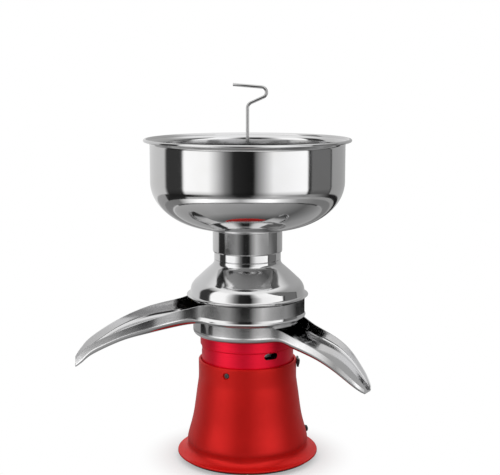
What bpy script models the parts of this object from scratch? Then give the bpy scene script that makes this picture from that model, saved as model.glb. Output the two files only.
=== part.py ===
"""Electric cream separator: red motor base, spinning drum, two spouted receivers, float chamber, bowl.

Frame: origin at the centre of the bottom cover's flat underside, +Z up along the spin axis, -Y to the
front, +X to the right. Lengths below are millimetres; objects are built in metres.
"""
import math

import bmesh
import bpy
from mathutils import Matrix, Vector

MM = 0.001
GAP = 0.3                # between pieces that touch
FULL_TURN = 2 * math.pi
FACET_PHASE = math.radians(11)    # keeps a hole's corners off the facet lines of what it cuts

# Facets round a turned piece, by its size
LARGE_ROUND = 24
DRUM_ROUND = 16
SMALL_ROUND = 12
SCREW_ROUND = 10

# Foot and housing
COVER_THICKNESS = 3.2
COVER_RADIUS = 96.0
FOOT_HEIGHT = 4.0
FOOT_RADIUS = 8.0
FOOT_CIRCLE = 79.0
FLANGE_RADIUS = 100.7
FLANGE_BOTTOM = COVER_THICKNESS + GAP
FLANGE_TOP = 6.2
SKIRT_RADIUS = 86.4
SKIRT_HEIGHT = 25.0
HOUSING_RADIUS = 70.0
HOUSING_TOP = 140.5
HOUSING_WALL = 2.4
COVER_SCREW_CIRCLE = 92.0
VENT_RADIUS = 7.0
VENT_CIRCLE = 34.0

# Drum casing
CASING_RADIUS = 65.5
CASING_WALL = 2.5
CASING_BAND_RADIUS = 67.3
CASING_BAND_BOTTOM = 162.0
CASING_TOP = 177.0
CASING_BOTTOM = 116.0
CASING_FLOOR = 143.5
CASING_FLOOR_THICKNESS = 2.5
WINDOW_LENGTH = 21.0
WINDOW_HEIGHT = 9.0
WINDOW_CENTRE = 156.5
WINDOW_AZIMUTHS = (60, 180, 300)
CASING_SCREW_HEIGHT = 130.0
CASING_SCREW_AZIMUTHS = (245, 65)
SCREW_PIN_RADIUS = 2.0
SCREW_HEAD_RADIUS = 4.2

# Receivers
SHEET = 1.3
SKIM_RADIUS = 77.5
SKIM_TOP = 201.0
SKIM_HUB_HOLE = 24.8
SKIM_HUB_TOP = 192.4
SKIM_AZIMUTH = -31
CREAM_RADIUS = 81.2
CREAM_TOP = 232.2
CREAM_HUB_HOLE = 18.2
CREAM_HUB_TOP = 213.6
CREAM_AZIMUTH = 190

# Spouts, root to tip: distance from the axis, half width, rim height, underside height
SKIM_SPOUT = (
    (60, 46, 198, 178.5), (76, 40, 195, 176.4), (92, 38, 190, 171.8), (126, 35.5, 177, 161),
    (150, 31, 162.5, 148), (174, 22, 140.5, 129), (184, 16, 130, 121), (189, 11, 124.5, 117.5),
)
CREAM_SPOUT = (
    (60, 48, 227, 205.4), (76, 42, 225, 202.2), (100, 38, 221, 197.3), (140, 42, 211, 191),
    (180, 35, 196.5, 180), (220, 20, 175.5, 158.8), (238, 10.5, 159, 144), (244, 7.5, 151, 139),
)

# Float chamber
BRIM_RADIUS = 86.2
BRIM_BOTTOM = CREAM_TOP + GAP
BELL_RADIUS = 81.0
NECK_RADIUS = 47.1
NECK_BOTTOM = 279.5
NECK_TOP = 316.0
CUP_FLOOR = 281.6
NOZZLE_RADIUS = 4.8
NOZZLE_BORE = 3.4
NOZZLE_BOTTOM = 219.0
FLOAT_RADIUS = 40.0
FLOAT_SKIN = 0.9

# Milk bowl and tap
RIM_RADIUS = 145.0
RIM_HEIGHT = 454.0
RIM_BEAD = 2.2
BOWL_RADIUS = 136.0
BOWL_SHEET = 1.4
BOWL_BEND_HEIGHT = 395.0
BOWL_BOTTOM = 328.0
BOWL_FLAT_RADIUS = 44.0
DRAIN_DISH_RADIUS = 34.0
COLLAR_RADIUS = 49.1
COLLAR_BOTTOM = 295.0
SEAT_RADIUS = 11.0
SEAT_BORE = 8.0
PLUG_RADIUS = SEAT_BORE - 0.5
SEAT_BOTTOM = 303.3
PLUG_BOTTOM = 306.0
PORT_HEIGHT = BOWL_BOTTOM + 6.0
PORT_SIZE = 6.0
ROD_RADIUS = 2.2
ROD_BOTTOM = BOWL_BOTTOM + 12.3

# Motor and drum
SPINDLE_RADIUS = 4.0
SPINDLE_BOTTOM = 5.4
CONE_BOTTOM = 150.5
CONE_TOP = 165.5
STATOR_RADIUS = 38.0
STATOR_BOTTOM = 55.3
STATOR_TOP = 95.0
POLE_HALF_ANGLE = 46
COIL_INNER = 24.0
COIL_OUTER = 29.4
COIL_REACH = 84
COIL_WINDOW = 58
COIL_OVERHANG = 6.0
ARMATURE_RADIUS = 21.8
ARMATURE_SLOT_DEPTH = 2.2
WINDING_RADIUS = 18.0
COMMUTATOR_RADIUS = 11.0
COMMUTATOR_BOTTOM = 30.0
COMMUTATOR_TOP = 49.0
BRUSH_SIZE = (17.5, 6.0, 8.4)
BRUSH_START = 11.5
BRUSH_HEIGHT = 40.5
HOLDER_START = 14.0
HOLDER_END = 33.9
HOLDER_WALL = 1.7
FAN_RADIUS = 30.0
FAN_HUB_RADIUS = 9.0
FAN_BOTTOM = 6.0
FAN_TOP = 12.0
FAN_BLADES = 8
BRACKET_WALL = 3.0
BRACKET_HUB_RADIUS = 14.0
BRACKET_BOTTOM = 14.0
SHELF_RADIUS = 54.0
SHELF_HEIGHT = 117.0
BEARING_BORE = 4.3
BEARING_RADIUS = 11.0
BEARING_WIDTH = 7.0
LOWER_BEARING_HEIGHT = 16.8
UPPER_BEARING_HEIGHT = 107.0
CAPACITOR_RADIUS = 7.0
CAPACITOR_BOTTOM = 22.0
CAPACITOR_TOP = 48.0
DAMPER_CIRCLE = 46.0
DAMPER_RADIUS = 7.5
DAMPER_WAIST = 5.0
DRUM_RADIUS = 53.0
DRUM_BOTTOM = 151.0
DRUM_NECK_RADIUS = 20.0
DRUM_WALL = 3.0
DRUM_SLOPE = 0.7
DRUM_JOINT_HEIGHT = 164.0
DRUM_COVER_THICKNESS = 3.2
DRUM_COVER_TOP = 198.0
INLET_BORE = 7.5
INLET_RADIUS = 10.0
INLET_TOP = 224.0
INLET_SHOULDER = 216.0
TOP_DISC_NECK_TOP = 218.0
NUT_TOP = 225.5
DISC_COUNT = 10
DISC_PITCH = 1.05
DISC_THICKNESS = 0.62
DISC_OUTER = 46.0
DISC_INNER = 14.4
DISC_FIRST_HEIGHT = 157.2
CREAM_PORT_HEIGHT = 215.5
SKIM_PORT_HEIGHT = 195.4

# Switch and gland
SWITCH_HEIGHT = 134.0
SWITCH_PIVOT = 70.5
SWITCH_NECK = 8.2
SWITCH_BEZEL_HALF = (10.0, 6.3)
SWITCH_NECK_HALF_WIDTH = 7.5
SWITCH_POCKET_HALF_WIDTH = 6.3
ROCKER_TILT = 10
GLAND_AZIMUTH = 29
GLAND_HEIGHT = 17.8
GLAND_BORE = 3.0
GLAND_STEM = 5.0
GLAND_FLANGE = 7.0
GLAND_SEAT = 89.0
GLAND_TIP = 101.0

COLOURS = {
    "polished_steel": ((0.62, 0.62, 0.63), 0.12, 1.0),
    "red_anodised": ((0.62, 0.01, 0.03), 0.25, 0.75),
    "red_paint": ((0.42, 0.02, 0.02), 0.35, 0.0),
    "black_plastic": ((0.02, 0.02, 0.02), 0.4, 0.0),
    "grey_rubber": ((0.06, 0.06, 0.06), 0.85, 0.0),
    "zinc_steel": ((0.5, 0.5, 0.5), 0.35, 1.0),
    "drum_aluminium": ((0.7, 0.7, 0.72), 0.35, 1.0),
    "lamination": ((0.25, 0.25, 0.27), 0.55, 0.9),
    "copper_wire": ((0.72, 0.32, 0.15), 0.4, 1.0),
    "carbon": ((0.04, 0.04, 0.045), 0.7, 0.0),
    "cast_bracket": ((0.55, 0.55, 0.56), 0.5, 1.0),
    "brass": ((0.75, 0.55, 0.25), 0.3, 1.0),
    "seal_rubber": ((0.55, 0.12, 0.08), 0.7, 0.0),
    "fan_plastic": ((0.1, 0.1, 0.11), 0.5, 0.0),
    "white_plastic": ((0.75, 0.75, 0.72), 0.45, 0.0),
}


def clear_scene():
    for item in list(bpy.data.objects):
        bpy.data.objects.remove(item, do_unlink=True)


def make_material(node, finish):
    colour, roughness, metallic = COLOURS[finish]
    material = bpy.data.materials.new(node + "_" + finish)
    material.use_nodes = True
    shader = material.node_tree.nodes["Principled BSDF"]
    shader.inputs["Base Color"].default_value = (*colour, 1.0)
    shader.inputs["Roughness"].default_value = roughness
    shader.inputs["Metallic"].default_value = metallic
    return material


def add_object(name, mesh, finish=None, parent=None):
    """Turn a bmesh into a named, smooth-shaded object; without a finish it is a cutter."""
    bmesh.ops.recalc_face_normals(mesh, faces=mesh.faces)
    data = bpy.data.meshes.new(name)
    mesh.to_mesh(data)
    mesh.free()
    data.shade_smooth()
    data.set_sharp_from_angle(angle=math.radians(35))
    item = bpy.data.objects.new(name, data)
    bpy.context.collection.objects.link(item)
    if finish:
        data.materials.append(make_material(name, finish))
    else:
        item.hide_render = True
        item.display_type = "WIRE"
    item.parent = parent
    return item


def add_empty(name, x=0.0, z=0.0):
    """An empty that carries a moving group, on that group's joint axis."""
    item = bpy.data.objects.new(name, None)
    bpy.context.collection.objects.link(item)
    item.location = (x * MM, 0, z * MM)
    return item


def turned_mesh(outline, sides):
    """Spin a closed (radius, height) outline about Z."""
    mesh = bmesh.new()
    verts = [mesh.verts.new((radius * MM, 0, height * MM)) for radius, height in outline]
    edges = [mesh.edges.new((verts[i - 1], verts[i])) for i in range(len(verts))]
    bmesh.ops.spin(mesh, geom=verts + edges, cent=(0, 0, 0), axis=(0, 0, 1),
                   angle=FULL_TURN, steps=sides, use_merge=True)
    bmesh.ops.remove_doubles(mesh, verts=mesh.verts, dist=1e-6)
    loose = [edge for edge in mesh.edges if not edge.link_faces]
    bmesh.ops.delete(mesh, geom=loose, context="EDGES")
    return mesh


def turned(name, outline, finish=None, sides=LARGE_ROUND, parent=None):
    return add_object(name, turned_mesh(outline, sides), finish, parent)


def arc(centre_r, centre_z, radius, start, end, steps):
    """Points on a circular arc in the (radius, height) plane, angles in degrees."""
    points = []
    for step in range(steps + 1):
        angle = math.radians(start + (end - start) * step / steps)
        points.append((centre_r + radius * math.cos(angle), centre_z + radius * math.sin(angle)))
    return points


def smooth(points, steps):
    """Catmull-Rom curve through the points, steps to each span; the points may have any length."""
    ends = [points[0]] + list(points) + [points[-1]]
    curve = []
    for i in range(len(points) - 1):
        before, start, end, after = ends[i:i + 4]
        for step in range(steps):
            t = step / steps
            curve.append(tuple(
                0.5 * (2 * b + (c - a) * t + (2 * a - 5 * b + 4 * c - d) * t * t
                       + (3 * b - a - 3 * c + d) * t ** 3)
                for a, b, c, d in zip(before, start, end, after)))
    curve.append(tuple(points[-1]))
    return curve


def bridged(sections):
    """Skin closed sections of equal length into one solid, with flat end caps."""
    mesh = bmesh.new()
    rings = [[mesh.verts.new(Vector(point) * MM) for point in section] for section in sections]
    for first, second in zip(rings, rings[1:]):
        for i in range(len(first)):
            mesh.faces.new((first[i - 1], first[i], second[i], second[i - 1]))
    mesh.faces.new(rings[0])
    mesh.faces.new(list(reversed(rings[-1])))
    return mesh


def tube_of_outlines(outer, inner, levels):
    """A ring whose outer and inner outlines (lists of x, y) run straight up through the levels."""
    mesh = bmesh.new()
    rings = []
    for outline in (outer, inner):
        rings.append([[mesh.verts.new((x * MM, y * MM, z * MM)) for x, y in outline] for z in levels])
    for wall in rings:
        for low, high in zip(wall, wall[1:]):
            for i in range(len(low)):
                mesh.faces.new((low[i - 1], low[i], high[i], high[i - 1]))
    for level in (0, -1):
        a, b = rings[0][level], rings[1][level]
        for i in range(len(a)):
            mesh.faces.new((a[i - 1], a[i], b[i], b[i - 1]))
    return mesh


def polar_outline(radius_at, count, offset=0.0):
    """Outline of points (x, y) whose radius is a function of the angle in degrees."""
    outline = []
    for i in range(count):
        degrees = 360 * i / count + offset
        angle = math.radians(degrees)
        radius = radius_at(degrees % 360)
        outline.append((radius * math.cos(angle), radius * math.sin(angle)))
    return outline


def box_mesh(low, high):
    """An axis-aligned box from its lowest to its highest corner."""
    mesh = bmesh.new()
    size = [h - l for l, h in zip(low, high)]
    middle = [(h + l) / 2 for l, h in zip(low, high)]
    matrix = Matrix.Translation(Vector(middle) * MM) @ Matrix.Diagonal((*(s * MM for s in size), 1.0))
    bmesh.ops.create_cube(mesh, size=1.0, matrix=matrix)
    return mesh


def rounded_box_mesh(low, high, radius, axis="X"):
    """A box whose four edges along the axis are rounded."""
    mesh = box_mesh(low, high)
    index = "XYZ".index(axis)
    edges = [e for e in mesh.edges
             if abs(abs((e.verts[0].co - e.verts[1].co).normalized()[index]) - 1) < 1e-6]
    bmesh.ops.bevel(mesh, geom=edges, offset=radius * MM, segments=3, affect="EDGES", profile=0.5)
    return mesh


def combine(target, tool, operation="DIFFERENCE"):
    modifier = target.modifiers.new(operation.lower() + "_" + tool.name, "BOOLEAN")
    modifier.operation = operation
    modifier.object = tool
    modifier.solver = "EXACT"


def radial(item, azimuth, height=0.0, distance=0.0):
    """Turn an object built along +X to an azimuth, at a height and a distance from the axis."""
    angle = math.radians(azimuth)
    item.location = (distance * math.cos(angle) * MM, distance * math.sin(angle) * MM, height * MM)
    item.rotation_euler = (0, 0, angle)
    return item


def stepped(levels):
    """Closed outline of a round bar whose radius changes in steps: (radius, from, to) for each step."""
    outline = [(0, levels[0][1])]
    for radius, start, end in levels:
        outline += [(radius, start), (radius, end)]
    return outline + [(0, levels[-1][2])]


def lying(outline, sides=SCREW_ROUND):
    """A turned mesh laid down so that its axis runs along +X."""
    mesh = turned_mesh(outline, sides)
    bmesh.ops.rotate(mesh, verts=mesh.verts, cent=(0, 0, 0), matrix=Matrix.Rotation(math.pi / 2, 3, "Y"))
    return mesh


def radial_cutter(name, levels, azimuth, height):
    """A cutter lying along an azimuth; its levels are distances from the axis."""
    return radial(add_object(name, lying(stepped(levels))), azimuth, height)


def upright_cutter(name, levels, azimuth, distance):
    """An upright cutter at an azimuth and a distance from the axis; its levels are heights."""
    item = turned(name, stepped(levels), None, SCREW_ROUND)
    radial(item, azimuth, 0, distance)
    item.rotation_euler.z += FACET_PHASE
    return item


def housing_outline():
    """Closed outline of the bell-shaped housing with its foot flange."""
    lip_inner = CASING_RADIUS + 0.7
    outer = [
        (HOUSING_RADIUS - 1.2, HOUSING_TOP), (HOUSING_RADIUS, HOUSING_TOP - 1.3), (HOUSING_RADIUS, 115),
        (72.9, 93), (77.4, 61), (80.3, 50), (84.4, 35), (SKIRT_RADIUS, SKIRT_HEIGHT), (85.8, 18),
        (87.0, 11.5), (91.0, 8.0), (FLANGE_RADIUS - 1.2, FLANGE_TOP), (FLANGE_RADIUS, FLANGE_TOP - 1.2),
        (FLANGE_RADIUS, FLANGE_BOTTOM),
    ]
    inner = [
        (86.5, FLANGE_BOTTOM), (83.4, 18), (SKIRT_RADIUS - HOUSING_WALL, SKIRT_HEIGHT),
        (82.0, 35), (77.9, 50), (75.0, 61), (70.5, 93), (HOUSING_RADIUS - HOUSING_WALL, 112),
        (lip_inner, 118), (lip_inner, HOUSING_TOP - 0.8), (lip_inner + 0.8, HOUSING_TOP),
    ]
    return outer + inner


def build_housing(base):
    housing = turned("base_housing", housing_outline(), "red_paint", parent=base)
    for index, azimuth in enumerate(CASING_SCREW_AZIMUTHS):
        head_seat = HOUSING_RADIUS - HOUSING_WALL
        levels = [(SCREW_PIN_RADIUS + 0.5, 60, head_seat), (SCREW_HEAD_RADIUS + 0.8, head_seat, 75)]
        combine(housing, radial_cutter(f"housing_screw_hole_{index}", levels, azimuth, CASING_SCREW_HEIGHT))
    for index in range(3):
        hole = upright_cutter(f"flange_screw_hole_{index}", [(1.8, FLANGE_BOTTOM - 2, 6.4)],
                              30 + 120 * index, COVER_SCREW_CIRCLE)
        combine(housing, hole)
    gland_hole = radial_cutter("gland_hole", [(GLAND_STEM + GAP, 75, 95)], GLAND_AZIMUTH, GLAND_HEIGHT)
    combine(housing, gland_hole)
    half = SWITCH_NECK / 2 + GAP
    width = SWITCH_NECK_HALF_WIDTH + GAP
    switch_hole = add_object("switch_hole", box_mesh((60, -width, SWITCH_HEIGHT - half),
                                                     (80, width, SWITCH_HEIGHT + half)))
    combine(housing, switch_hole)
    return switch_hole


def build_bottom_cover(base):
    cover = turned("bottom_cover", [(0, 0), (COVER_RADIUS - 1, 0), (COVER_RADIUS, 1),
                                    (COVER_RADIUS, COVER_THICKNESS), (0, COVER_THICKNESS)],
                   "black_plastic", parent=base)
    for index in range(3):
        azimuth = 30 + 120 * index
        combine(cover, upright_cutter(f"cover_screw_hole_{index}", [(4.0, -1, 2.0), (1.8, 2.0, 5)], azimuth,
                                      COVER_SCREW_CIRCLE))
        screw = turned(f"cover_screw_{index + 1}", stepped([(3.5, 0.3, 1.7), (1.5, 1.7, 6.1)]), "zinc_steel",
                       SCREW_ROUND, base)
        radial(screw, azimuth, 0, COVER_SCREW_CIRCLE)
    for index in range(4):
        azimuth = 45 + 90 * index
        combine(cover, upright_cutter(f"foot_hole_{index}", [(2.8, -1, 5)], azimuth, FOOT_CIRCLE))
        foot = turned(f"foot_{index + 1}", [(0, -FOOT_HEIGHT), (FOOT_RADIUS - 0.8, -FOOT_HEIGHT),
                                            (FOOT_RADIUS, 0.8 - FOOT_HEIGHT), (FOOT_RADIUS - 0.5, -GAP),
                                            (2.5, -GAP), (2.5, COVER_THICKNESS), (0, COVER_THICKNESS)],
                      "grey_rubber", SCREW_ROUND, base)
        radial(foot, azimuth, 0, FOOT_CIRCLE)
    for index in range(3):
        combine(cover, upright_cutter(f"vent_{index}", [(VENT_RADIUS, -1, 5)], 90 + 120 * index, VENT_CIRCLE))


def build_casing(base, switch_hole):
    inner = CASING_RADIUS - CASING_WALL
    floor_top = CASING_FLOOR + CASING_FLOOR_THICKNESS
    outline = [
        (CASING_BAND_RADIUS, CASING_TOP), (CASING_BAND_RADIUS, CASING_BAND_BOTTOM + 0.6),
        (CASING_RADIUS, CASING_BAND_BOTTOM - 0.6), (CASING_RADIUS, CASING_BOTTOM), (inner, CASING_BOTTOM),
        (inner, CASING_FLOOR), (12, CASING_FLOOR), (12, 149), (14, 149), (14, floor_top),
        (inner - 2, floor_top), (inner, floor_top + 2), (inner, CASING_TOP),
    ]
    casing = turned("drum_casing", outline, "red_anodised", parent=base)
    for index, azimuth in enumerate(WINDOW_AZIMUTHS):
        half = WINDOW_LENGTH / 2
        low = (CASING_RADIUS - 8, -half, -WINDOW_HEIGHT / 2)
        high = (CASING_RADIUS + 8, half, WINDOW_HEIGHT / 2)
        window = add_object(f"window_{index}", rounded_box_mesh(low, high, WINDOW_HEIGHT * 0.49))
        combine(casing, radial(window, azimuth, WINDOW_CENTRE))
    for index, azimuth in enumerate(CASING_SCREW_AZIMUTHS):
        levels = [(SCREW_PIN_RADIUS + GAP, 55, 70)]
        combine(casing, radial_cutter(f"casing_screw_hole_{index}", levels, azimuth, CASING_SCREW_HEIGHT))
        head_seat = HOUSING_RADIUS - HOUSING_WALL + GAP
        shape = stepped([(SCREW_PIN_RADIUS, 60, head_seat), (SCREW_HEAD_RADIUS, head_seat, head_seat + 1.5)])
        screw = add_object(f"casing_screw_{index + 1}", lying(shape), "zinc_steel", base)
        radial(screw, azimuth, CASING_SCREW_HEIGHT)
    combine(casing, switch_hole)


def build_switch(base):
    width, height = SWITCH_BEZEL_HALF
    bezel = rounded_box_mesh((HOUSING_RADIUS + GAP, -width, SWITCH_HEIGHT - height),
                             (HOUSING_RADIUS + 1.8, width, SWITCH_HEIGHT + height), 1.8)
    body = add_object("switch_body", bezel, "black_plastic", base)
    half = SWITCH_NECK / 2
    width = SWITCH_NECK_HALF_WIDTH
    neck = add_object("switch_neck", box_mesh((52, -width, SWITCH_HEIGHT - half),
                                              (HOUSING_RADIUS + 1, width, SWITCH_HEIGHT + half)))
    combine(body, neck, "UNION")
    half -= 0.8
    width = SWITCH_POCKET_HALF_WIDTH
    pocket = add_object("switch_pocket", box_mesh((64.5, -width, SWITCH_HEIGHT - half),
                                                  (75, width, SWITCH_HEIGHT + half)))
    combine(body, pocket)
    pivot = add_empty("switch_pivot", SWITCH_PIVOT, SWITCH_HEIGHT)
    face = arc(-6.0, 0, 12.0, -24, 24, 4)
    outline = [(1.0, -2.2), (-3.0, -1.4), (-3.0, 1.4), (1.0, 2.2)] + list(reversed(face))
    sections = [[(x, y, z) for x, z in outline] for y in (-6.0, 6.0)]
    mesh = bridged(sections)
    bmesh.ops.rotate(mesh, verts=mesh.verts, cent=(0, 0, 0),
                     matrix=Matrix.Rotation(math.radians(ROCKER_TILT), 3, "Y"))
    add_object("switch_rocker", mesh, "black_plastic", pivot)


def build_gland(base):
    outline = [
        (GLAND_BORE, GLAND_SEAT - 7), (GLAND_STEM, GLAND_SEAT - 7), (GLAND_STEM, GLAND_SEAT),
        (GLAND_FLANGE, GLAND_SEAT), (GLAND_FLANGE, GLAND_SEAT + 3), (GLAND_BORE + 1.6, GLAND_TIP),
        (GLAND_BORE, GLAND_TIP),
    ]
    radial(add_object("cable_gland", lying(outline), "black_plastic", base), GLAND_AZIMUTH, GLAND_HEIGHT)


def build_motor_frame(base):
    inner = STATOR_RADIUS - BRACKET_WALL
    floor = BRACKET_BOTTOM + BRACKET_WALL
    hub = BRACKET_HUB_RADIUS
    seat = BEARING_RADIUS + GAP
    step = LOWER_BEARING_HEIGHT - GAP
    low_cup = [
        (STATOR_RADIUS, STATOR_BOTTOM - GAP), (STATOR_RADIUS, BRACKET_BOTTOM), (6, BRACKET_BOTTOM), (6, step),
        (seat, step), (seat, step + 7.5), (hub, step + 7.5), (hub, floor), (inner, floor),
        (inner, STATOR_BOTTOM - GAP),
    ]
    turned("motor_bottom_bracket", low_cup, "cast_bracket", DRUM_ROUND, base)
    shelf = SHELF_HEIGHT - BRACKET_WALL
    step = UPPER_BEARING_HEIGHT + BEARING_WIDTH + 0.5
    top_cup = [
        (STATOR_RADIUS, STATOR_TOP + GAP), (inner, STATOR_TOP + GAP), (inner, shelf - 2), (hub, shelf - 2),
        (hub, UPPER_BEARING_HEIGHT - 1), (seat, UPPER_BEARING_HEIGHT - 1), (seat, step), (8, step),
        (8, SHELF_HEIGHT), (SHELF_RADIUS, SHELF_HEIGHT), (SHELF_RADIUS, shelf), (STATOR_RADIUS, shelf),
    ]
    turned("motor_top_bracket", top_cup, "cast_bracket", DRUM_ROUND, base)
    bearing = [(BEARING_BORE, 0), (BEARING_RADIUS, 0), (BEARING_RADIUS, BEARING_WIDTH),
               (BEARING_BORE, BEARING_WIDTH)]
    for name, height in (("lower_bearing", LOWER_BEARING_HEIGHT), ("upper_bearing", UPPER_BEARING_HEIGHT)):
        item = turned(name, bearing, "zinc_steel", SMALL_ROUND, base)
        item.location.z = height * MM
    low, high = SHELF_HEIGHT + GAP, CASING_FLOOR - GAP
    bobbin = [(0, low), (DAMPER_RADIUS, low), (DAMPER_RADIUS, low + 5), (DAMPER_WAIST, low + 10),
              (DAMPER_WAIST, high - 9), (DAMPER_RADIUS, high - 4), (DAMPER_RADIUS, high), (0, high)]
    for index in range(3):
        damper = turned(f"damper_{index + 1}", bobbin, "grey_rubber", SCREW_ROUND, base)
        radial(damper, 90 + 120 * index, 0, DAMPER_CIRCLE)


def build_stator(base):
    def bore(degrees):
        near_pole = abs((degrees + 90) % 180 - 90) <= POLE_HALF_ANGLE
        return ARMATURE_RADIUS + 0.8 if near_pole else COIL_OUTER + 0.6

    outer = polar_outline(lambda degrees: STATOR_RADIUS, 36, 5)
    inner = polar_outline(bore, 36, 5)
    mesh = tube_of_outlines(outer, inner, (STATOR_BOTTOM, STATOR_TOP))
    add_object("stator_core", mesh, "lamination", base)
    for index in range(2):
        coil = coil_mesh(COIL_INNER, COIL_OUTER, COIL_REACH, COIL_WINDOW, STATOR_BOTTOM - COIL_OVERHANG,
                         STATOR_TOP + COIL_OVERHANG)
        item = add_object(f"field_coil_{index + 1}", coil, "copper_wire", base)
        item.rotation_euler = (0, 0, math.pi * index)


def coil_mesh(inner_radius, outer_radius, reach, window, bottom, top):
    """A rectangular loop of wire bent round the armature, as a frame wrapped on a cylinder."""
    columns = [-reach, -window, -window / 3, window / 3, window, reach]
    levels = [bottom, STATOR_BOTTOM - GAP, STATOR_TOP + GAP, top]
    mesh = bmesh.new()
    grid = {}
    for wall, radius in enumerate((inner_radius, outer_radius)):
        for i, degrees in enumerate(columns):
            angle = math.radians(degrees)
            for j, level in enumerate(levels):
                point = (radius * math.cos(angle) * MM, radius * math.sin(angle) * MM, level * MM)
                grid[wall, i, j] = mesh.verts.new(point)
    filled = {(i, j) for i in range(5) for j in range(3) if not (1 <= i <= 3 and j == 1)}
    for i, j in filled:
        for wall in (0, 1):
            mesh.faces.new([grid[wall, a, b] for a, b in ((i, j), (i + 1, j), (i + 1, j + 1), (i, j + 1))])
        edges = {(i - 1, j): ((i, j), (i, j + 1)), (i + 1, j): ((i + 1, j), (i + 1, j + 1)),
                 (i, j - 1): ((i, j), (i + 1, j)), (i, j + 1): ((i, j + 1), (i + 1, j + 1))}
        for neighbour, (a, b) in edges.items():
            if neighbour not in filled:
                mesh.faces.new([grid[0, *a], grid[0, *b], grid[1, *b], grid[1, *a]])
    unused = [vert for vert in mesh.verts if not vert.link_faces]
    bmesh.ops.delete(mesh, geom=unused, context="VERTS")
    return mesh


def build_brushes(base):
    length, width, height = BRUSH_SIZE

    def bar(start, end, growth):
        """A radial bar round the brush's line, wider and higher than the brush by a growth on each side."""
        half_width, half_height = width / 2 + growth, height / 2 + growth
        return box_mesh((start, -half_width, BRUSH_HEIGHT - half_height), (end, half_width,
                                                                           BRUSH_HEIGHT + half_height))

    for index, azimuth in enumerate((90, 270)):
        holder = add_object(f"brush_holder_{index + 1}", bar(HOLDER_START, HOLDER_END, GAP + HOLDER_WALL),
                            "brass", base)
        channel = add_object(f"brush_channel_{index}", bar(HOLDER_START - 4, HOLDER_END - 3, GAP))
        combine(holder, radial(channel, azimuth))
        radial(holder, azimuth)
        brush_bar = bar(BRUSH_START, BRUSH_START + length, 0)
        brush = add_object(f"carbon_brush_{index + 1}", brush_bar, "carbon", base)
        radial(brush, azimuth)
    radius = CAPACITOR_RADIUS
    capacitor = turned("suppressor_capacitor", [(0, CAPACITOR_BOTTOM), (radius - 0.5, CAPACITOR_BOTTOM),
                                                (radius, CAPACITOR_BOTTOM + 0.5), (radius, CAPACITOR_TOP),
                                                (0, CAPACITOR_TOP)],
                       "white_plastic", SCREW_ROUND, base)
    capacitor.location.x = (STATOR_RADIUS + radius + GAP) * MM


def build_rotor(drum):
    spindle = [
        (0, SPINDLE_BOTTOM), (SPINDLE_RADIUS, SPINDLE_BOTTOM), (SPINDLE_RADIUS, 140), (6.5, 146),
        (6.5, CONE_BOTTOM), (4.6, CONE_TOP), (0, CONE_TOP),
    ]
    turned("spindle", spindle, "zinc_steel", SMALL_ROUND, drum)
    bore = SPINDLE_RADIUS + GAP

    def blades(degrees):
        return FAN_RADIUS if degrees % (360 / FAN_BLADES) < 6 else FAN_HUB_RADIUS

    count = 60
    mesh = tube_of_outlines(polar_outline(blades, count), polar_outline(lambda degrees: bore, count),
                            (FAN_BOTTOM, FAN_TOP))
    add_object("cooling_fan", mesh, "fan_plastic", drum)
    turned("commutator", [(bore, COMMUTATOR_BOTTOM), (COMMUTATOR_RADIUS, COMMUTATOR_BOTTOM),
                          (COMMUTATOR_RADIUS, COMMUTATOR_TOP), (bore, COMMUTATOR_TOP)],
           "brass", SMALL_ROUND, drum)
    build_armature(drum, bore)


def build_armature(drum, bore):
    """Laminated core with shallow slots; the wound ends are domes above and below it."""
    count = 24

    def slotted(degrees):
        return ARMATURE_RADIUS if round(degrees * count / 360) % 2 else ARMATURE_RADIUS - ARMATURE_SLOT_DEPTH

    def plain(radius):
        return polar_outline(lambda degrees: radius, count)

    wound = WINDING_RADIUS
    levels = [(STATOR_BOTTOM - 4.8, wound - 4), (STATOR_BOTTOM - 2.8, wound), (STATOR_BOTTOM - 0.5, wound),
              (STATOR_BOTTOM, None), (STATOR_TOP, None), (STATOR_TOP + 0.5, wound), (STATOR_TOP + 5, wound),
              (STATOR_TOP + 8, wound - 4)]
    sections = []
    for level, radius in levels:
        outline = plain(radius) if radius else polar_outline(slotted, count)
        sections.append([(x, y, level) for x, y in outline])
    core = add_object("armature_core", bridged(sections), "lamination", drum)
    shaft_hole = turned("armature_bore", [(0, 40), (bore, 40), (bore, 110), (0, 110)], None, SMALL_ROUND)
    combine(core, shaft_hole)


def cone_height(start, radius):
    """Height of the drum's cones at a radius, for the cone that passes the disc edge at start."""
    return start + (DISC_OUTER - radius) * DRUM_SLOPE


def cone_band(start, outer, inner, thickness):
    """Closed outline of a thin conical ring."""
    return [
        (outer, cone_height(start, outer)), (outer, cone_height(start, outer) + thickness),
        (inner, cone_height(start, inner) + thickness), (inner, cone_height(start, inner)),
    ]


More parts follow.
